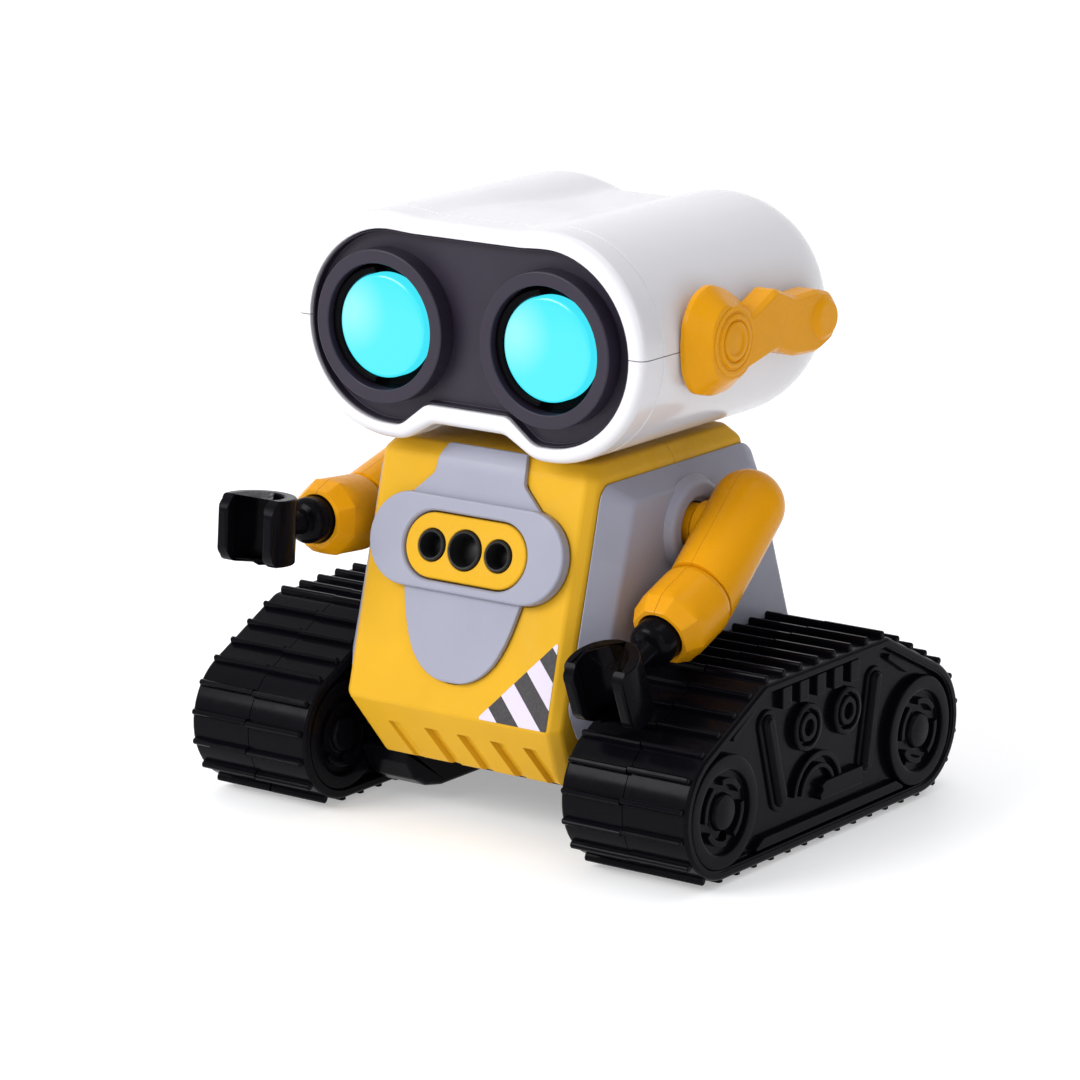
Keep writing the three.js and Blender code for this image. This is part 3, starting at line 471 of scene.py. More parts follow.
WHITE = plastic("white_gloss", (0.66, 0.65, 0.675), 0.2, peel=0.05, coat=0.2, mottle=0.008, edge=0,
                spread=0.012)
DARK = plastic("face_satin", (0.0205, 0.015, 0.028), 0.42, texture=0.35, mottle=0.06, edge=0.04,
               shine=0.3)
INK = plastic("face_gloss", (0.0018, 0.0018, 0.0026), 0.24, peel=0.1, edge=0.02, shine=0.03)
BODY = plastic("body_yellow", (0.63, 0.345, 0.014), 0.48, texture=0.45, mottle=0.03, edge=0.1,
               shine=0.12)
ARM = plastic("arm_yellow", (0.7, 0.3, 0.002), 0.27, peel=0.12, mottle=0.03, edge=0.05, shine=0.12)
GREY = plastic("panel_grey", (0.27, 0.275, 0.345), 0.46, texture=0.5, mottle=0.03, edge=0.1)
BLACK = plastic("gloss_black", (0.0026, 0.0024, 0.0038), 0.2, peel=0.16, edge=0.02, shine=0.05)
MATT = plastic("matt_black", (0.008, 0.008, 0.009), 0.5, texture=0.5, edge=0.06, shine=0.3)
GEAR = plastic("gear_nylon", (0.8, 0.78, 0.7), 0.45, texture=0.3, mottle=0.03)
CELL = plastic("cell_sleeve", (0.03, 0.12, 0.4), 0.3, peel=0.3)
# painted light: the pale grey of the lit crescent at the left edge of each lens, on a reflector that is
# otherwise gloss black
LIT_CRESCENT_GREY = plastic("reflector", (0.17, 0.17, 0.16), 0.3, texture=0.2, mottle=0.1)
STEEL = metal("steel", (0.55, 0.56, 0.58), 0.25)
RUBBER = rubber("tyre", (0.02, 0.02, 0.02))
BOARD = circuit("board", (0.02, 0.13, 0.05))

# ---- head

SEAM_Z = (design_box("head_top_shell")[0][2] + design_box("head_bottom_shell")[1][2]) / 2
BARREL_X, BARREL_R = 25.5, 29.8
HEAD_REAR, DOME, DOME_POWER, DOME_STEPS = design_box("head_top_shell")[1][1], 25.0, 2.3, 16
BRIDGE_TOP, BRIDGE_REAR, FALL_START, FALL_LENGTH = 160.6, 158.0, 16, 46
RIM_ROUND, WALL, POCKET = 2.3, 2.2, 6.0
NOTCH_HALF, NOTCH_Z, NOTCH_LOBE = 11.5, 107.3, 21.0
MASK_X, MASK_R, MASK_Y, MASK_DROP = 25.3, 25, -37, 0.5
MASK_NOTCH_HALF, MASK_NOTCH_Z, MASK_LOBE = 13, 113.2, 21.4
GROOVE_Y = -31.0
NECK_LOW, NECK_HIGH = design_box("neck_spindle")
NECK_Y = (NECK_LOW[1] + NECK_HIGH[1]) / 2
NECK = Matrix.Translation((0, NECK_Y, 0))
LENS_LOW, LENS_HIGH = design_box("eye_lens_left")
EYE_X, EYE_Z = (LENS_LOW[0] + LENS_HIGH[0]) / 2, (LENS_LOW[2] + LENS_HIGH[2]) / 2
BEZEL_R, BEZEL_HOLE, BEZEL_FRONT = 20.2, 16.5, 42.5
LENS_R, LENS_CROWN, LENS_BASE, LENS_BULGE = 13.6, 41.0, 37.2, 0.55


def smooth_min(a, b, k):
    h = max(k - abs(a - b), 0) / k
    return min(a, b) - h * h * k / 4


def smooth_max(a, b, k):
    return -smooth_min(-a, -b, k)


def head_ring(barrel_x, r, top, half, notch_z, lobe, y, squeeze=1.0, inset=0.0):
    """One cross-section of the head at y. Both barrels, the bridge and the neck notch follow it."""
    arc_steps, span_steps = 36, 44
    ring = []

    def put(base_x, dx, dz):
        reach = hypot(dx, dz)
        scale = squeeze * max(reach - inset, 0) / reach
        ring.append((base_x + dx * scale, y, SEAM_Z + dz * scale))

    def roof(x):
        round_top = sqrt(max(r * r - (abs(x) - barrel_x) ** 2, 1))
        return smooth_max(round_top, top - SEAM_Z, 1.6)

    def floor(x):
        slope = (SEAM_Z - notch_z - r) / (lobe - half)
        bottom = smooth_min(SEAM_Z - notch_z - slope * (abs(x) - half), r, 1.4)
        return -smooth_max(bottom, SEAM_Z - notch_z, 0.8)

    spans = [barrel_x * cos(pi * i / span_steps) for i in range(1, span_steps)]
    for s, edge, row in ((1, roof, spans), (-1, floor, spans[::-1])):
        for i in range(arc_steps + 1):
            a = radians(180 * i / arc_steps - 90 * s)
            lift = roof(barrel_x) - r if s * (2 * i - arc_steps) > 0 else 0
            put(s * barrel_x, r * cos(a), r * sin(a) + lift * max(0, sin(a)) ** 6)
        for x in row:
            put(x, 0, edge(x))
    return ring


def shell_ring(y, squeeze=1.0, inset=0.0):
    fall = min(1, max(0, (y - HEAD_FRONT - FALL_START) / FALL_LENGTH))
    top = BRIDGE_TOP - (BRIDGE_TOP - BRIDGE_REAR) * fall * fall * (3 - 2 * fall)
    return head_ring(BARREL_X, BARREL_R, top, NOTCH_HALF, NOTCH_Z, NOTCH_LOBE, y, squeeze, inset)


def mask_ring(y, grow):
    r = MASK_R + grow
    ring = head_ring(MASK_X, r, SEAM_Z + r, MASK_NOTCH_HALF, MASK_NOTCH_Z - grow, MASK_LOBE, y)
    return [(x, y, z - MASK_DROP) for x, y, z in ring]


def mask_solid(levels):
    return skin([mask_ring(y, grow) for y, grow in levels])


def dome(length, inset):
    """The rounded rear end, from the straight part to a thin edge at the very back."""
    for k in range(1, DOME_STEPS + 1):
        a = pi / 2 * k / DOME_STEPS
        t, s = sin(a) ** (2 / DOME_POWER), max(cos(a), 0.002) ** (2 / DOME_POWER)
        yield shell_ring(HEAD_REAR - DOME + t * length, s, inset)


def build_head():
    rim = [(RIM_ROUND * (1 - cos(a)), RIM_ROUND * (1 - sin(a))) for a in np.linspace(0, pi / 2, 6)]
    groove = [(GROOVE_Y - 0.4, 0), (GROOVE_Y - 0.2, 0.25), (GROOVE_Y + 0.2, 0.25), (GROOVE_Y + 0.4, 0)]
    levels = [(HEAD_FRONT + y, inset) for y, inset in rim] + [(-34, 0)] + groove
    levels += [(y, 0) for y in np.linspace(-27, HEAD_REAR - DOME, 14)]
    outside = skin([shell_ring(y, inset=inset) for y, inset in levels] + list(dome(DOME, 0)))
    straight = np.linspace(HEAD_FRONT + POCKET - 0.5, HEAD_REAR - DOME, 8)
    inside = skin([shell_ring(y, inset=WALL) for y in straight] + list(dome(DOME - WALL, WALL)))
    pocket = mask_solid([(HEAD_FRONT + y, grow) for y, grow in
                         ((POCKET, 0.25), (0.4, 0.25), (0.1, 0.35), (-0.3, 0.75))])
    whole = cut(raw("head", outside), inside, pocket)
    hole = turned(plug(13.5, 95, 114), 64, NECK)
    lower = cut(copy_of(whole), slab(2, SEAM_Z - SEAM, BIG), hole)
    upper = cut(whole, slab(2, -BIG, SEAM_Z + SEAM))
    for thing, node in ((upper, "head_top_shell"), (lower, "head_bottom_shell")):
        finish(thing, "head", WHITE, node, sharp=40)


def build_mask():
    """A dark tray: its floor lies behind the rim and its lip lines the pocket."""
    back, front = MASK_Y + 2, HEAD_FRONT + 0.7
    tray = raw("mask", mask_solid([
        (back, -0.25), (back - 0.2, 0), (front + 0.1, 0), (front, -0.1), (front, -0.3),
        (front + 0.1, -0.4), (MASK_Y - 0.3, -0.45), (MASK_Y - 0.1, -0.55), (MASK_Y, -0.8)]))
    for _, s in SIDES:
        cut(tray, turned(plug(BEZEL_HOLE, -3, 8), 96, along_y((s * EYE_X, MASK_Y, EYE_Z))))
    paint(tray, lambda c, n: c[1] < MASK_Y - 0.02)
    finish(tray, "head", [DARK, MATT], "face_mask", sharp=40)


def build_neck():
    r, z0, z1 = (NECK_HIGH[0] - NECK_LOW[0]) / 2, NECK_LOW[2], NECK_HIGH[2]
    profile = raised(z0, [(0, 0), (0, 1.7), (-0.4, 2.1), (-5, 2.1), (-5, 6.5), (-3.4, 6.9)], r)
    for k in range(4):
        profile += raised(z0 + k * 1.9, [(-3, 7.4), (-3, 8.4), (-3.5, 8.7), (-3.5, 9)], r)
    profile = [(5, z0)] + profile + raised(z1, [(-3, -1.6), (0, -1.6), (0, 0)], r) + [(5, z1)]
    finish(raw("neck", turned(profile, 72, NECK)), "head", MATT, "neck_spindle")


# ---- eyes


def build_eye(side, s):
    at = (s * EYE_X, 0, EYE_Z)
    place = along_y(at)
    back, front, hole, out, r = -MASK_Y, BEZEL_FRONT, BEZEL_HOLE, BEZEL_R, LENS_R
    bezel = [(hole + 0.3, back - 3), (out - 0.4, back - 3), (out - 0.4, back - 0.2), (out, back + 0.3)]
    bezel += arc(out - 0.5, front - 0.5, 0.5, 8.594, 90, 5) + [(hole + 1.2, front)]
    bezel += arc(hole + 0.35, front - 0.35, 0.35, 90, 180, 4)
    bezel += [(hole, front - 1.2), (hole + 0.15, back - 1.5)]
    ring = raw("bezel", turned(bezel, 128, place))
    # painted shade: the bezel's side walls are given gloss black, darker than its dark satin front face
    paint(ring, lambda c, n: abs(n[1]) < 0.6)
    finish(ring, "head", [DARK, INK], f"eye_bezel_{side}", sharp=60)

    top = [(0, LENS_BULGE)] + [(q, LENS_BULGE * (1 - (q / r) ** 2)) for q in np.linspace(1.5, r - 1, 9)]
    profile = raised(LENS_CROWN, top + arc(r - 1, -1, 1, 72.811, 0, 5))
    profile += [(r, LENS_BASE), (0, LENS_BASE)]
    lens = raw("lens", turned(profile, 128, place))
    paint(lens, lambda c, n: n[1] > -0.8)
    # the centre of the painted highlight on each lens
    spot = Vector((at[0] - 0.72 * r, SHIFT_Y - LENS_CROWN, at[2] + 0.25 * r)) * MM
    glow = glowing(f"lens_glow_{side}", (0.06, 0.84, 1), 0.95, spot, 0.9 * r * MM)
    band = glowing(f"lens_edge_{side}", (0, 0.82, 1), 1, (0, -1, 0), 0.001)
    finish(lens, "head", [glow, band], f"eye_lens_{side}", sharp=50)

    profile = raised(LENS_BASE, [(r + 0.15, -0.2), (r + 0.5, 0), (hole - 0.8, 0.3), (hole - 0.2, 1.4),
                                 (hole - 0.05, 1.4), (hole - 0.05, -2.2), (9, -6.2), (9, -4.2),
                                 (r - 0.5, -0.8), (r + 0.1, -0.6)])
    cone = raw("cone", turned(profile, 96, place))
    # the step is the lit crescent on the left side only; its front is painted grey as painted light
    step = arc(-0.9, 0, r + 1.8, 96, 264, 40) + arc(0, 0, r + 0.2, 262, 98, 36)
    join(cone, plate(step, edge_levels(36, 40.7, 0.5), place))
    # painted light: the crescent's front faces take the grey, and the rest of the cone stays gloss black
    paint(cone, lambda c, n: c[1] < -40)
    finish(cone, "head", [INK, LIT_CRESCENT_GREY], f"eye_reflector_{side}", sharp=50)


# ---- ears

EAR_HUB, EAR_DISC, EAR_TAIL = (-10.4, 133.2), 9.0, (31.2, 132.6)
EAR_SKIRT = [(-20.5, 120.6), (-12, 118.6), (-4, 119.2), (2.6, 124.6), (3.8, 133), (0.8, 141),
             (-6.5, 145.4), (-14, 147.8), (-20, 145.6), (-24.2, 140), (-25, 133), (-24.2, 126)]
EAR_BAR = [(-6, 124), (9.8, 127.4), (18.5, 124.4), (29, 123.8), (36, 126.4), (38.6, 132.6),
           (35.6, 138.6), (29, 140.4), (18.4, 140.2), (9.4, 143.6), (-5, 137)]
EAR_RINGS = [(EAR_DISC, 0.15), (EAR_DISC - 0.4, 0.35), (7.8, 0.35), (7.4, 0.05), (7.1, 0.05), (6.8, 0.6),
             (6.5, 0.7), (5.9, 0.7), (5.6, 0.5), (5.4, 0.15), (5.2, 0.15), (4.9, 0.75), (4.6, 0.85),
             (3.9, 0.85), (3.6, 0.6), (3.4, 0.3), (0, 0.45)]


def build_ear(side, s):
    low, high = design_box(f"ear_{side}")
    inner, outer = (low[0], high[0]) if s > 0 else (-high[0], -low[0])
    face = outer - 1.4
    place = along_x((0, 0, 0), s)
    bar = [(0, inner), (0, face - 1.5), (0.12, face - 1.2), (1, face - 0.1), (1.3, face)]
    skirt = [(0, inner), (0, inner + 1.2), (0.15, inner + 1.55), (0.6, inner + 2), (4.4, face - 0.25),
             (4.9, face), (6, face)]
    ear = join(raw("ear", plate(EAR_BAR, bar, place, 1.6)), plate(EAR_SKIRT, skirt, place, 2.6))
    disc = [(0, inner), (EAR_DISC, inner)] + raised(face, EAR_RINGS)
    knob = raised(face, [(5.9, -0.2), (5.5, 0.3), (4.6, 1.1), (4.2, 1.4), (0, 1.4)])
    knob = [(0, inner), (5.9, inner)] + knob
    for profile, centre in ((disc, EAR_HUB), (knob, EAR_TAIL)):
        join(ear, turned(profile, 96, along_x((0, *centre), s)))
    finish(ear, "head", ARM, f"ear_{side}", sharp=24)


# ---- body

HALF_X, CHAMFER = 34.6, 2.7
TOP_Z, SHOULDER_Z, SKIRT_Z, BOTTOM_Z = 100.2, 96.8, 33.9, 16.9
FRONT_TOP, FRONT_SKIRT, FRONT_BOTTOM = -31.9, -48.6, -37.9
REAR_TOP, REAR_SKIRT, REAR_BOTTOM = 37.3, 60.2, 60.0
SEAM_Y = 3.9
ARM_X, PIVOT_Y, PIVOT_Z, STUB_R = 53.4, 3.8, 79.6, 6.0
LEAN = atan((FRONT_TOP - FRONT_SKIRT) / (SHOULDER_Z - SKIRT_Z))
BACK_LEAN = atan((REAR_SKIRT - REAR_TOP) / (SHOULDER_Z - SKIRT_Z))
CHEST_Z = 76.7
CHEST_Y = FRONT_TOP - (SHOULDER_Z - CHEST_Z) * tan(LEAN)
RECESSES = ((-22.3, 3.4, 4.6, 0.9), (-10.4, 3.1, 4.4, 1.6), (0.2, 3.1, 4.4, 1.6), (10.9, 3.1, 4.4, 1.6),
            (21.4, 3.1, 4.4, 1.6))
RECESS_TOP, RECESS_END = 27.6, 13.0
CAPSULE_V, SLOT_V = -1.0, -1.8
SENSORS = (("left", 10.5, 4.4), ("centre", -0.2, 5.4), ("right", -10.8, 4.4))
DOOR_Z, DOOR_SCREW_Z, VENT_Z = 66, 51.5, 27.5
SOCKET, SWITCH, SWITCH_WINDOW = (-24, 44), (22.5, 44), (24, 44)


def on_front(x=0.0, v=0.0):
    """The chest plane: u runs along X, v up the slope from the chest's middle, h straight out of it."""
    up, out = Vector((0, sin(LEAN), cos(LEAN))), Vector((0, -cos(LEAN), sin(LEAN)))
    return axes((1, 0, 0), up, out, Vector((x, CHEST_Y, CHEST_Z)) + up * v)


def on_back(x, z):
    """The back plane at a height: u runs along X, v up the slope and h out of the back."""
    up, out = (0, -sin(BACK_LEAN), cos(BACK_LEAN)), (0, cos(BACK_LEAN), sin(BACK_LEAN))
    return axes((1, 0, 0), up, out, (x, REAR_TOP + (SHOULDER_Z - z) * tan(BACK_LEAN), z))


def body_solid(inset, lift):
    rings = []
    for z, half, front, rear in (
        (BOTTOM_Z - lift, 30.5, FRONT_BOTTOM + lift * 1.8, REAR_BOTTOM),
        (SKIRT_Z, HALF_X, FRONT_SKIRT, REAR_SKIRT),
        (SHOULDER_Z - inset / 2, HALF_X, FRONT_TOP, REAR_TOP),
        (TOP_Z - inset, HALF_X - 2.8, FRONT_TOP + 3, REAR_TOP - 3),
    ):
        h, f, b, c = half - inset, front + inset, rear - inset, CHAMFER
        rings.append([(h - c, f, z), (h, f + c, z), (h, b - c, z), (h - c, b, z),
                      (c - h, b, z), (-h, b - c, z), (-h, f + c, z), (c - h, f, z)])
    return skin(rings)


def recess(x, slant, width, depth):
    """A slanted notch in the lower front bevel, steep on one side and running out on the other."""
    slope = (FRONT_BOTTOM - FRONT_SKIRT) / (SKIRT_Z - BOTTOM_Z)
    reach = hypot(1, slope)
    across = ((-0.35, -2), (0, depth), (width * 0.45, depth * 0.75), (width, -0.1), (width, -2))
    return skin([[(u + du, FRONT_SKIRT + (SKIRT_Z - z) * slope + d / reach, z + d * slope / reach)
                  for du, d in across] for z, u in ((RECESS_TOP, x), (RECESS_END, x + slant * 1.5))])


def capsule(half, r, v, steps=18):
    return arc(half - r, v, r, -90, 90, steps) + arc(r - half, v, r, 90, 270, steps)


def opening(outline, depth, edge, at):
    """A hole into the back from a depth, flared over its edge."""
    return plate(outline, [(0, -depth), (0, -edge), (-0.5, 0.2), (-0.5, 5)], on_back(*at))


def build_body():
    shell = bevel(raw("shell", body_solid(0, 0)), 0.85, 3, 12)
    cut(shell, body_solid(WALL, 1.2), *(recess(*numbers) for numbers in RECESSES))
    collar = [(0, 90), (11.5, 90), (11.5, 99.6), (12.2, 100.4), (12.2, 110), (0, 110)]
    cut(shell, turned(collar, 64, NECK))
    for _, s in SIDES:
        cut(shell, turned(plug(STUB_R + 0.5, 20, 50), 48, along_x((0, PIVOT_Y, PIVOT_Z), s)))
    front = cut(copy_of(shell), slab(1, SEAM_Y - SEAM, BIG))
    window = rounded([(-17, -7.7), (17, -7.7), (17, 6.3), (-17, 6.3)], 2)
    cut(front, plate(window, [(0, -12), (0, 9)], on_front()))
    edge = [(x + 0.3, z - CHEST_Z) for x, z in BIB[:-3]]
    edge[0] = (edge[0][0], edge[0][1] - 0.3)
    for outline in (capsule(31.3, 12.6, CAPSULE_V), edge + [(-x, v) for x, v in edge[::-1]]):
        cut(front, plate(outline, [(0, -0.6), (0, 2)], on_front()))
    finish(front, "body", BODY, "body_front_shell", sharp=28)

    rear = cut(shell, slab(1, -BIG, SEAM_Y + SEAM))
    cut(rear, opening(rectangle(17.3, 18.8, 2.5), 7, 0.5, (0, DOOR_Z)),
        opening(rectangle(3.4, 2.4, 0.9), 7, 0.4, SWITCH_WINDOW),
        opening(rectangle(5.2, 2.4, 1.4), 12, 0.4, SOCKET))
    well = [(0, -1.5), (2.3, -1.5), (2.3, -0.2), (2.8, 0.4), (2.8, 4), (0, 4)]
    cut(rear, *(turned(well, 32, on_back(x, z)) for x in (-27.5, 27.5) for z in (90, 54)))
    slit, levels = rectangle(11, 0.7, 0.69), [(0, -5), (0, -0.2), (-0.3, 0.3), (-0.3, 3)]
    cut(rear, *(plate(slit, levels, on_back(0, VENT_Z + 3.2 * k)) for k in range(-2, 3)))
    finish(rear, "body", BODY, "body_rear_shell", sharp=28)


def build_back():
    on_door = on_back(0, DOOR_Z)
    cover = raw("door", plate(rectangle(17, 18.5, 2.2), edge_levels(-2, -0.05, 0.45), on_door))
    thumb = rounded([(-7, 10.2), (7, 10.2), (5.2, 15.4), (-5.2, 15.4)], 1.2)
    cut(cover, plate(thumb, [(0.6, -0.9), (0, -0.3), (-0.3, 0.6)], on_door))
    bar, rise = rectangle(4.2, 0.35, 0.3), edge_levels(-1.2, -0.25, 0.3)
    join(cover, *(plate(bar, rise, on_back(0, DOOR_Z + 11.2 + 1.15 * k)) for k in range(4)))
    screw = [(0, -1.2), (1.9, -1.2), (1.9, -0.3), (2.4, 0.3), (2.4, 2), (0, 2)]
    cut(cover, turned(screw, 32, on_back(0, DOOR_SCREW_Z)))
    finish(cover, "body", BODY, "battery_cover", sharp=28)

    at = on_back(*SWITCH)
    switch = raw("switch", plate(rectangle(1.6, 1.9, 0.5), edge_levels(-3.3, 1.4, 0.35), at))
    join(switch, plate(rectangle(4.4, 3, 0.6), [(0, -3.8), (0, -2.7)], at))
    cut(switch, *(moved(box(x - 0.16, x + 0.16, -3, 3, 1.05, 3), at) for x in (-0.9, 0, 0.9)))
    finish(switch, "switch", MATT, "power_switch")

    at = on_back(*SOCKET)
    jack = raw("jack", plate(rectangle(4.9, 2.1, 1.7), edge_levels(-8, -0.5, 0.25), at))
    cut(jack, plate(rectangle(4.2, 1.5, 1.3), [(0, -6.5), (0, 1)], at))
    join(jack, plate(rectangle(3, 0.35, 0.2), [(0, -7), (0, -1.8)], at))
    finish(jack, "body", STEEL, "charging_socket")


PANEL_BASE = [(-27.2, 95.3), (-29.6, 92.7), (-33, 79.5), (-43.7, 39.2), (-39.3, 30.1), (52, 30.1),
              (57, 43.7), (41.6, 86.5), (39, 92.7), (35.4, 95.3)]
PANEL_TOP = [(-20.8, 90.6), (-22.4, 89.4), (-26.2, 76.6), (-37, 41.6), (-34.4, 34.6), (48.2, 34.6),
             (50.8, 44), (36.4, 84.2), (34.4, 89), (31.6, 90.6)]
PANEL_INNER, PANEL_OUTER, BOSS_R = 34.9, 40.4, 12.3
PANEL_RISE = ((0, PANEL_INNER), (0, PANEL_INNER + 0.25), (0.84, 39.35), (0.93, 39.85), (1.02, 40.18),
              (1.1, 40.34), (1.2, PANEL_OUTER))


def build_panel(side, s):
    base, top = same_count(PANEL_BASE, 2.4), same_count(PANEL_TOP, 2.4)
    rings = [[(s * x, y, z) for y, z in base + (top - base) * blend] for blend, x in PANEL_RISE]
    panel = raw("panel", skin(rings))
    r, bore = BOSS_R, STUB_R + 0.5
    collar = [(r + 1.2, -0.7), (r + 0.7, 0.3)] + arc(r - 1.6, 0.5, 1.9, 11.459, 90, 5)
    collar += arc(8.8, 1.2, 1.2, 95.73, 180, 4) + [(bore, 0.4)]
    collar = [(bore, PANEL_INNER), (9.4, PANEL_INNER)] + raised(PANEL_OUTER, collar)
    place = along_x((0, PIVOT_Y, PIVOT_Z), s)
    cut(panel, turned(plug(9, 30, 45), 64, place))
    join(panel, turned(collar, 96, place))
    finish(panel, "body", GREY, f"side_panel_{side}", sharp=24)


# ---- chest

BIB = [(0.8, 40.5), (3, 40.65), (5.2, 41.15), (7.3, 42.05), (9.3, 43.3), (11.1, 44.9), (12.8, 46.9),
       (14.2, 49.3), (15.6, 52.4), (16.8, 55.9), (17.8, 59.6), (18.7, 63.3), (19.3, 66), (20.6, 87.4),
       (20.2, 88.1), (14.9, 93.2), (14.3, 94.2), (14, 97.5), (12.6, 101.4), (11.6, 101.9)]
BEND_LENGTH = 3.6


def bib_shape():
    """The chest plate's apron, lofted up the front and over the bend at the top of the body."""
    bend, start = atan(3.0 / 3.4) - LEAN, (SHOULDER_Z - CHEST_Z) / cos(LEAN) - 1.8
    heights = np.array([z - CHEST_Z for _, z in BIB])
    rows = []

    def lean(v):
        return LEAN + bend * min(1, max(0, (v - start) / BEND_LENGTH))

    levels = np.concatenate([heights, np.linspace(heights[0], heights[-1], 60)])
    for v in sorted(set(np.round(levels, 3))):
        rim = min(v - heights[0], heights[-1] - v)
        lift = 1.6 - 0.55 * max(0, 1 - rim / 0.5) ** 2
        half = float(np.interp(v, heights, [x for x, _ in BIB]))
        spot = Vector((0, CHEST_Y, CHEST_Z)) + Vector((0, sin(LEAN), cos(LEAN))) * min(v, start)
        steps = start + np.linspace(0, max(0, v - start), 12)
        for a, b in zip(steps, steps[1:]):
            spot = spot + Vector((0, sin(lean((a + b) / 2)), cos(lean((a + b) / 2)))) * (b - a)
        out = Vector((0, -cos(lean(v)), sin(lean(v))))
        edge = [(-half, 0.3), (-half, lift - 0.45), (-half + 0.13, lift - 0.13), (-half + 0.45, lift)]
        edge += [(-u, h) for u, h in edge[::-1]]
        rows.append([tuple(spot + Vector((u, 0, 0)) + out * h) for u, h in edge])
    return skin(rows)


def build_chest():
    chest = raw("chest", bib_shape())
    join(chest, plate(capsule(31, 12.3, CAPSULE_V), edge_levels(0.35, 3.4, 0.75, 5), on_front()))
    slot = [(0, -3), (0, 2.5), (-0.15, 3), (-0.7, 3.55), (-0.7, 6)]
    cut(chest, plate(capsule(19.7, 9, SLOT_V), slot, on_front()))
    finish(chest, "body", GREY, "chest_plate", sharp=24)

    insert = raw("insert", plate(capsule(19.3, 8.6, SLOT_V), edge_levels(0.35, 2.9, 0.7, 5), on_front()))
    for _, x, r in SENSORS:
        bore = [(0, -2), (r, -2), (r, 2.7), (r + 0.35, 3.1), (r + 0.35, 6), (0, 6)]
        cut(insert, turned(bore, 64, on_front(x, SLOT_V)))
    finish(insert, "body", BODY, "sensor_plate", sharp=24)
    for side, x, r in SENSORS:
        place, o = on_front(x, SLOT_V), r - 0.25
        profile = [(0, -4.4), (o, -4.4), (o, 3), (o - 0.15, 3.35), (o - 0.4, 3.5), (o - 0.7, 3.45),
                   (o - 0.9, 3.1), (o - 1.1, -1.5), (o - 1.3, -1.9)]
        profile += [(q, -1.9 + 0.8 * (1 - (q / (o - 1.3)) ** 2)) for q in np.linspace(o - 1.6, 0.4, 7)]
        sensor = raw("sensor", turned(profile + [(0, -1.1)], 64, place))
        middle, out = np.array(place.translation), np.array(place.col[2][:3])
        paint(sensor, lambda c, n: (c - middle) @ out < 3)
        finish(sensor, "body", [MATT, INK], f"sensor_{side}", sharp=40)


def build_sticker():
    corners = rounded([(9.5, 34.2), (31.5, 34.2), (31.3, 56.8)], 0.5)
    outline = [(x, (z - CHEST_Z) / cos(LEAN)) for x, z in corners]
    label = raw("label", plate(outline, [(0, 0.01), (0, 0.05), (0.05, 0.08)], on_front()))
    slant = (0.7071, 0, 0.7071)
    look = striped("hazard", (0.012, 0.01, 0.012), (0.62, 0.56, 0.66), slant, 0.0098, 0.0012)
    finish(label, "body", look, "warning_sticker")


# ---- arms

ARM_R, ARM_BACK, REACH, BEND = 9.7, 8.5, 21.0, radians(20)
FORE_R, FORE_END, COLLAR_R, ARM_SEAM = 10.3, -18.8, 6.2, 0.05
CLAW_OFFSET, CLAW_R, CLAW_BORE, CLAW_HEIGHT, CLAW_MOUTH, CLAW_TIP = 24.0, 9.9, 6.5, 17.6, 5.8, 5.9
ARM_TILT = {"left": radians(41.6), "right": radians(15.4)}
FORWARD = axes((1, 0, 0), (0, 0, -1), (0, 1, 0))


def halves(whole, place, side, name):
    """Splits a piece of an arm at its seam into an inner and an outer half."""
    for half, low, high in (("inner", -BIG, -ARM_SEAM), ("outer", ARM_SEAM, BIG)):
        part = bevel(keep(copy_of(whole), moved(slab(0, low, high), place)), 0.08, 2, 50)
        finish(part, f"{side}_{name}", ARM, f"{name}_{half}_{side}", sharp=30)
    bpy.data.objects.remove(whole)


def mouth(r, t, angle):
    """Turns the forearm's round wall into eight facets towards its mouth."""
    flat = radians(45)
    facet = cos(flat / 2) / cos((angle + flat / 2) % flat - flat / 2) * 1.03
    share = 0.8 * min(1, max(0, (-t - 12.6) / 1.8))
    return r * (1 + (facet - 1) * share * (r > 7.2))


def claw_outline():
    r, tip = CLAW_BORE, (9.15, -CLAW_TIP)
    turn = degrees(acos(CLAW_MOUTH / r))
    outline = arc(0, 0, CLAW_R, -27, 207, 44) + [(-tip[0], tip[1]), (-CLAW_MOUTH, tip[1])]
    outline += arc(0, 0, r, 180 + turn, -turn, 36) + [(CLAW_MOUTH, tip[1]), tip]
    corners = [0.0] * len(outline)
    for k in (45, 46, -2, -1):
        corners[k] = 1.1
    return rounded(outline, corners)


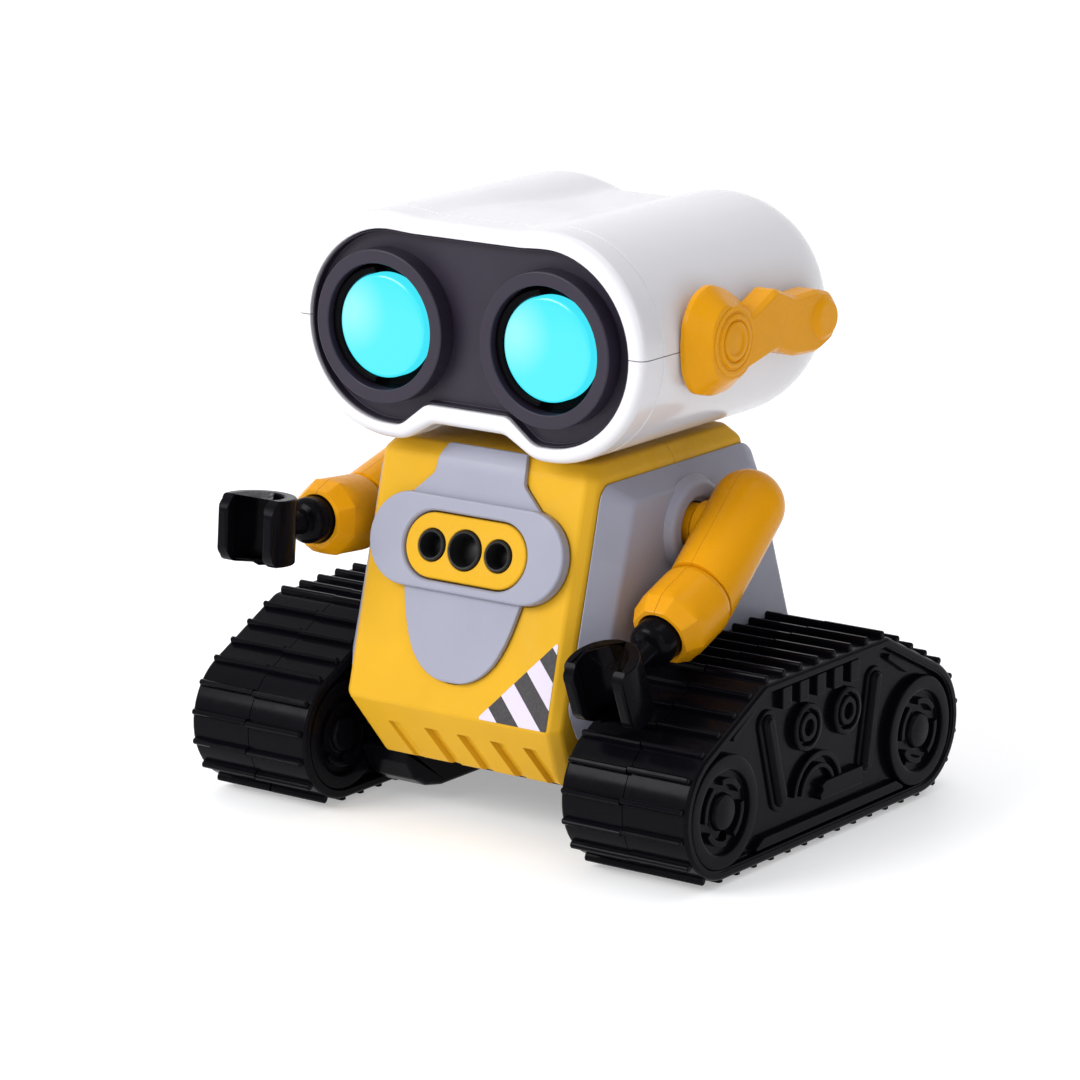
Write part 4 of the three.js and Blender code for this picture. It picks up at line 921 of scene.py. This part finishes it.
def build_arm(side, s):
    place = Matrix.Translation((s * ARM_X, PIVOT_Y, PIVOT_Z))
    place = place @ Matrix.Rotation(ARM_TILT[side], 4, "X") @ Matrix.Diagonal((s, 1, 1, 1))
    bent = place @ Matrix.Translation((0, -REACH, 0)) @ Matrix.Rotation(-BEND, 4, "X")
    profile = [(0, -REACH - ARM_R)] + arc(0, -REACH, ARM_R, -83.125, 0, 9)
    profile += arc(0, ARM_BACK, ARM_R, 0, 83.125, 9) + [(0, ARM_BACK + ARM_R)]
    upper = raw("upper", turned(profile, 72, place @ FORWARD))
    cut(upper, moved(slab(1, -BIG, 0.2), bent))
    bevel(upper, 0.5, 3, 40)
    join(upper, turned(plug(4, -4.6, 3), 48, bent @ FORWARD))
    stub = raised(-ARM_X, [(0, 29.6), (8.2, 29.6), (8.2, 31.9), (STUB_R, 31.9)])
    stub += [(STUB_R, -10.2), (STUB_R + 1.1, -9), (STUB_R + 1.1, -4), (0, -4)]
    join(upper, turned(stub, 64, place @ along_x()))
    cut(upper, turned(plug(1.7, -12, -8.2), 32, place @ along_x((0, -13.5, -2.5))))
    halves(upper, place, side, "upper_arm")

    end, r = FORE_END, COLLAR_R
    sleeve = raised(0, [(-1.3, -0.15), (-0.75, -0.3), (-0.5, -0.8), (-0.4, -1.5), (0, -2.2), (0, -10.5),
                        (0, -12.5), (0, -14.3), (-0.2, -14.7)], FORE_R)
    sleeve += raised(end, [(1.9, 0.3), (1.6, 0), (0.5, 0), (0.3, 0.2), (0.3, 2.4)], r)
    inside = [(3.5, end + 2.4), (3.5, -10), (4.3, -10), (4.3, -0.15)]
    halves(raw("fore", turned(sleeve + inside, 96, bent @ FORWARD, mouth)), place, side, "forearm")

    centre, half = end - CLAW_OFFSET, CLAW_HEIGHT / 2
    ring = plate(claw_outline(), edge_levels(-half, half, 0.7, 3, 0.7))
    claw = raw("claw", moved(ring, bent @ Matrix.Translation((0, centre, 0))))
    low, high = centre - 5.95, centre + 12
    side_view = [(low, -half - 1), (high, -half - 1), (high, half + 1), (low, half + 1)]
    side_view = plate(rounded(side_view, [6.4, 1, 1, 6.4], 8), [(0, -20), (0, 20)])
    keep(claw, moved(side_view, bent @ along_x()))
    wrist = [(0, 8.2), (3.2, 8.2), (3.2, 2), (r, 2), (r, -3.6), (r - 0.15, -4.4), (r - 0.7, -5.4),
             (r - 1.6, -6), (4, -6.2), (3.4, -6.6), (3.2, -7.4)]
    root = [(3.2, -1.4), (4.6, -0.2), (4.6, -2), (0, -2)]
    join(claw, turned(raised(end, wrist) + raised(centre + CLAW_R, root), 64, bent @ FORWARD))
    finish(claw, f"{side}_hand", BLACK, f"hand_{side}", sharp=30)


# ---- track pods

POD_INNER, POD_SEAM, POD_OUTER, POD_Y, POD_FLOOR = 41.3, 60.5, 80.0, 8.7, 0.7
END_SPAN, END_R, END_Z = 93.0, 18.1, 19.6
CORNER_SPAN, CORNER_R, CORNER_Z = 56.0, 5.0, 43.4
RIB_PITCH = 7.8
RIB = ((0, -0.6), (0.04, 0.9), (0.25, 1.45), (0.6, 1.75), (1.2, 1.75), (1.55, 1.45), (1.76, 0.9),
       (1.8, -0.6))
WHEELS = ((-36.5, "front"), (49.5, "rear"))
WHEEL_R, WHEEL_HALF, AXLE_R = 12.0, 4.6, 1.9
DISC_AT, DISC_Z = (-37.6, 55.0), 18.9
DISH, RELIEF = 77.2, 2.3
UP = DISH + RELIEF


def pod_outline(grow, step=1.6):
    """The pod's side outline, anticlockwise from below."""
    circles = [(POD_Y + s * span / 2, z, r + grow) for s, span, z, r in (
        (-1, END_SPAN, END_Z, END_R), (1, END_SPAN, END_Z, END_R),
        (1, CORNER_SPAN, CORNER_Z, CORNER_R), (-1, CORNER_SPAN, CORNER_Z, CORNER_R))]
    turns = []
    for (y, z, r), (y2, z2, r2) in zip(circles, circles[1:] + circles[:1]):
        turns.append(atan2(z2 - z, y2 - y) - acos((r - r2) / hypot(y2 - y, z2 - z)))
    path = []
    for i, (y, z, r) in enumerate(circles):
        start, end = turns[i - 1], turns[i]
        while end < start:
            end += 2 * pi
        path += arc(y, z, r, degrees(start), degrees(end), max(3, ceil((end - start) * r / step)))
    return path


def ribbed_outline(shift):
    """The ribs' tops and flanks, evenly spaced round the pod's outline."""
    path = np.array(pod_outline(0, 0.8))
    spans = np.linalg.norm(np.roll(path, -1, axis=0) - path, axis=1)
    ends = np.cumsum(spans)
    count = round(ends[-1] / RIB_PITCH)
    points = []
    for i in range(count):
        for along, height in RIB:
            length = ((i + shift) * ends[-1] / count + along) % ends[-1]
            k = int(np.searchsorted(ends, length))
            a, b = path[k], path[(k + 1) % len(path)]
            way = (b - a) / spans[k]
            p = a + way * (length - ends[k] + spans[k]) + np.array([way[1], -way[0]]) * height
            points.append((p[0], p[1]))
    return points


def bar_outline(y0, z0, y1, z1, w, end=0.9):
    """A straight bar of half width w with rounded ends."""
    way = np.array([y1 - y0, z1 - z0]) / hypot(y1 - y0, z1 - z0)
    out = np.array([-way[1], way[0]]) * w
    a, b = np.array([y0, z0]), np.array([y1, z1])
    return rounded([a + out, a - out, b - out, b + out], w * end, 10)


def arch(y, z, r0, r1, a, b, steps):
    """Part of a flat ring."""
    return arc(y, z, r1, a, b, steps) + arc(y, z, r0, b, a, steps - steps // 6)


def side_relief():
    """Raised moulding of a pod's side, drawn on (y, z) with height out from the dished floor."""
    root = DISH - 0.5
    disc = [(0, root), (15, root)]
    disc += raised(UP, [(15, -0.6), (14.8, -0.2), (14.4, 0), (11.6, 0), (11.1, -0.25)])
    disc += raised(DISH, [(10.8, 0.7), (10.4, 0.55), (5.4, 0.55), (5, 0.7)])
    disc += raised(UP, [(4.7, -0.5), (4.3, -0.15), (2.2, 0.1), (0, 0.15)])
    boss = [(0, root), (6.4, root)] + raised(UP, [(6.4, -0.7), (6.1, -0.3), (5.2, -0.2), (4.9, -0.5)])
    boss += raised(DISH, [(4.8, 0.6), (4, 0.6)])
    boss += raised(UP, [(3.8, -0.5), (3.5, -0.2), (2.3, -0.2), (2.1, -0.5)])
    boss += raised(DISH, [(2, 0.7), (0, 0.7)])
    parts = []
    for y in DISC_AT:
        parts.append(turned(disc, 72, Matrix.Translation((y, DISC_Z, 0))))
        for turn in range(20, 380, 90):
            ring = arch(y, DISC_Z, 7.3, 8.9, turn + 13, turn + 77, 12)
            parts.append(plate(ring, edge_levels(DISH, UP - 0.3, 0.3, 2)))
    for y, z in ((1, 32.2), (19.7, 32.4)):
        parts.append(turned(boss, 48, Matrix.Translation((y, z, 0))))
    ridge = [(2.07 * (1 - sin(k)), UP - 1.6 + 1.6 * cos(k)) for k in np.linspace(pi / 2, 0.35, 6)]
    for ends in ((-17.5, 40.5, -9.5, 12.5), (35, 41, 29.6, 12.5)):
        a, b = np.array(ends[:2]), np.array(ends[2:])
        parts.append(plate(bar_outline(*ends, 3.9, 1), edge_levels(root, UP - 1.5, 0.5, 3)))
        inner = bar_outline(*(a + (b - a) * 0.04), *(a + (b - a) * 0.96), 2.3, 1)
        parts.append(plate(inner, [(0, DISH)] + ridge))
    tab = [(7, 11.2), (9, 11.2), (27, 11.2), (27, 16), (9.5, 16), (7, 14.9), (8.4, 13.9), (6.6, 12.7)]
    sill = [(-24, 4.6), (49, 4.6), (44, 7.6), (-19, 7.6)]
    flat = [(arch(6.4, 13, *radii, 8, 172, 24), 0.7, 0.4) for radii in ((10.1, 11.6), (7, 8.3))]
    flat += [(rounded(tab, 0.5), 0.2, 0.35), (rounded(sill, 0.5), 0.5, 0.35)]
    for k in range(5):
        y = 8 * k - 11.2
        block = [(y, 39.6), (y + 4.4, 39.6), (y + 4.4, 45.4), (y, 45.4)]
        flat.append((rounded(block, 0.6), 0.5, 0.4))
    for ends in ((-33, 36.5, -22.5, 42.6), (50, 36.5, 39.8, 42.6)):
        flat.append((bar_outline(*ends, 0.8), 0.9, 0.3))
    parts += [plate(outline, edge_levels(root, UP - under, r, 2)) for outline, under, r in flat]
    return join(raw("relief", parts[0]), *parts[1:])


def mirrored(thing):
    twin = copy_of(thing)
    twin.data.transform(Matrix.Diagonal((-1, 1, 1, 1)))
    twin.data.flip_normals()
    return twin


def build_tracks():
    """Both halves of a pod are drawn for the left side, and mirrored for the right."""
    across = POD_INNER + POD_OUTER
    relief = keep(side_relief(), plate(pod_outline(-1.4), [(0, 0), (0, 200)]))
    lip = [(1.1 * (1 - cos(a)), 78.9 + 1.1 * sin(a)) for a in np.linspace(0, pi / 2, 5)]
    for half, place, shift, seam in (
        ("outer", along_x(), 0, POD_SEAM + SEAM),
        ("inner", along_x((across, 0, 0), -1), 0.05, across - POD_SEAM + SEAM),
    ):
        pod = raw("pod", plate(pod_outline(0), [(0, seam)] + lip))
        join(pod, plate(ribbed_outline(shift), [(0, seam), (0, 78.6), (0.3, 78.95)]))
        dish = [(0.3, DISH), (0, DISH + 0.3), (0, 79.3), (-0.35, 79.7), (-0.5, 82)]
        cut(pod, plate(pod_outline(-2.6), dish), plate(pod_outline(-2), [(0, seam - 3), (0, 75.2)]))
        join(pod, copy_of(relief))
        pod.data.transform(place)
        if half == "inner":
            pod.data.flip_normals()
        cut(pod, slab(2, -BIG, POD_FLOOR))
        for y, _ in WHEELS:
            cut(pod, turned(plug(WHEEL_R + 0.8, -5.4, 5.4), 64, along_x((POD_SEAM, y, WHEEL_R))),
                turned(plug(AXLE_R, 30, 78), 24, along_x((0, y, WHEEL_R))))
        twin = mirrored(pod)
        finish(pod, "body", BLACK, f"track_{half}_left", sharp=34)
        finish(twin, "body", BLACK, f"track_{half}_right", sharp=34)
    bpy.data.objects.remove(relief)


def build_wheel(side, s, y, end):
    w, r, bead = WHEEL_HALF, WHEEL_R, 8.9
    tread = [(bead, 0.3 - w), (r - 1.4, -w), (r - 0.7, 0.3 - w), (r - 0.25, 0.9 - w)]
    for k in range(4):
        tread += raised(1.1 - w + k * 1.95, [(0, 0.1), (0, 1.25), (-0.6, 1.4), (-0.6, 1.75)], r)
    tread += [(r - 0.25, w - 0.6), (r - 0.7, w - 0.3), (r - 1.4, w), (bead, w - 0.3)]

    def grip(q, t, a):
        return q - (0.45 if cos(24 * a) < -0.4 and q > r - 0.3 else 0)

    tyre = turned(tread, 144, along_x((s * POD_SEAM, y, WHEEL_R), s), grip)
    finish(raw("tyre", tyre), f"{side}_{end}_wheel", RUBBER, f"{end}_tyre_{side}")


RAIL = [(-33, 15.9), (-32, 12), (-28.4, 6.7), (-23.6, 4), (-17, 2.7), (57, 2.7), (60, 5.7), (60, 15.9)]
RAIL_HOLLOW = [(-31, 17.9), (-30, 13.2), (-27, 8.4), (-22.8, 5.6), (-17, 4.4), (56, 4.4), (58, 6.8),
               (58, 17.9)]
RAIL_ROUND = [0.6, 2, 3, 4, 6, 2.4, 2.4, 0.6]
RAIL_IN, RAIL_OUT, TUB_FRONT = 25.3, 40.9, 22.0


def build_belly():
    """A thin pan, a rounded rail along each pod and a gearbox tub between the rails at the rear."""
    outline = rounded(RAIL, RAIL_ROUND, 8)
    pan = raw("pan", box(-RAIL_IN - 1, RAIL_IN + 1, -28, TUB_FRONT + 1, 13.6, 15.9))
    rail = raw("rail", plate(outline, edge_levels(RAIL_IN, RAIL_OUT, 1.4, 4, 1.4), along_x()))
    cut(rail, plate(RAIL_HOLLOW, [(0, RAIL_IN + 2), (0, RAIL_OUT - 2)], along_x()))
    join(pan, mirrored(rail), rail)
    tub = raw("tub", plate(outline, edge_levels(-RAIL_IN - 1, RAIL_IN + 1, 0.3, 2, 0.3), along_x()))
    keep(tub, slab(1, TUB_FRONT, BIG))
    cut(tub, box(2 - RAIL_IN, RAIL_IN - 2, TUB_FRONT + 2, 58, 4.4, 18))
    join(pan, bevel(tub, 0.5, 2))
    cut(pan, turned(plug(AXLE_R, -60, 60), 24, along_x((0, WHEELS[1][0], WHEEL_R))))
    down = axes((1, 0, 0), (0, -1, 0), (0, 0, -1))
    well = lathe([(0, -4.6), (2.2, -4.6), (2.2, -3), (2.7, -2.5), (2.7, 0), (0, 0)], 32)
    for x, y in ((-33, -8), (33, -8), (-18, 52), (18, 52), (-18, 27), (18, 27)):
        cut(pan, moved(well, Matrix.Translation((x, y, 0)) @ down))
    for k in range(-3, 4):
        slit = plate(rectangle(9 - abs(k), 0.6, 0.55), [(0, -16), (0, -13)])
        cut(pan, moved(slit, Matrix.Translation((0, 3 * k - 14, 0)) @ down))
    finish(pan, "body", BLACK, "chassis", sharp=30)


# ---- building

build_head()
build_mask()
build_neck()
build_body()
build_back()
build_chest()
build_sticker()
build_tracks()
build_belly()
for side, s in SIDES:
    build_eye(side, s)
    build_ear(side, s)
    build_panel(side, s)
    build_arm(side, s)
    for y, end in WHEELS:
        build_wheel(side, s, y, end)

KEPT = {"eye_led_board": BOARD, "main_board": BOARD, "battery_pack": CELL, "speaker": MATT}
for kind, look in (("motor", STEEL), ("rear_axle", STEEL), ("drive_gear", GEAR), ("motor_pinion", GEAR),
                   ("front_wheel", BLACK), ("rear_wheel", BLACK)):
    KEPT.update({f"{kind}_{side}": look for side, _ in SIDES})
for node, look in KEPT.items():
    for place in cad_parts[node].material_slots:
        place.material = look

# ---- stage

AZIMUTH, ELEVATION, FOCAL_LENGTH = radians(-36.114), radians(13.775), 162.37
TARGET, DISTANCE = Vector((-5.7, SHIFT_Y, 69.7)) * MM, 1289.57 * MM
LAMPS = (
    ("key", (-0.5, -0.95, 0.75), (0.7, 0.5), 10.5),
    ("fill", (1.0, -0.7, 0.5), (0.6, 0.8), 1.8),
    ("top", (0.1, 0.25, 1.2), (0.9, 0.6), 2.2),
)
LAMP_AIM, FLOOR_GLOW = Vector((0, 0, 0.08)), 0.36
SKY_SIDE, SKY_DIM, SKY_BRIGHT = (-0.62, -0.4, 0.67), 0.16, 1


def floor_look():
    n = fresh("floor")
    return n.use(Base_Color=n.mix(n.vary(3), (0.7, 0.7, 0.71, 1), (0.74, 0.74, 0.74, 1)),
                 Roughness=n.vary(40, 2, 0.5, 0.6), Emission_Color=(1, 1, 1, 1),
                 Emission_Strength=FLOOR_GLOW)


def build_floor():
    """A floor that sweeps up into a wall behind the robot, as the camera sees it."""
    sweep = [(1.2 + 0.6 * sin(a), 0.6 - 0.6 * cos(a)) for a in np.linspace(0.15, pi / 2, 10)]
    section = [(-3, 0), (1.2, 0), *sweep, (1.8, 3)]
    rings = [[(x, y, z) for y, z in section] for x in (-4, 4)]
    points, faces = moved(skin(rings, closed=False, caps=False), Matrix.Rotation(-AZIMUTH, 4, "Z"))
    mesh = bpy.data.meshes.new("floor")
    mesh.from_pydata(points, [], faces)
    mesh.shade_smooth()
    mesh.materials.append(floor_look())
    placed("floor", mesh)


def aimed(thing, direction):
    thing.rotation_euler = direction.to_track_quat("-Z", "Y").to_euler()


build_floor()
for name, at, size, power in LAMPS:
    data = bpy.data.lights.new(name, "AREA")
    data.shape, data.size, data.size_y, data.energy = "RECTANGLE", *size, power
    lamp = placed(name, data)
    lamp.location = at
    aimed(lamp, LAMP_AIM - Vector(at))

sky = Nodes(bpy.data.worlds.new("studio"), "Background")
facing = sky.measure("DOT_PRODUCT", sky.coordinates["Generated"], SKY_SIDE)
sky.use(Color=(0.93, 0.94, 0.97, 1), Strength=sky.ramp(facing, -0.9, 0.95, SKY_DIM, SKY_BRIGHT))
scene = bpy.context.scene
scene.world = sky.owner
scene.view_settings.view_transform = "Standard"

data = bpy.data.cameras.new("photo")
data.lens, data.sensor_width, data.dof.use_dof = FOCAL_LENGTH, 36, False
scene.camera = placed("photo", data)
away = Vector((-sin(AZIMUTH) * cos(ELEVATION), -cos(AZIMUTH) * cos(ELEVATION), sin(ELEVATION)))
scene.camera.location = TARGET + away * DISTANCE
aimed(scene.camera, -away)
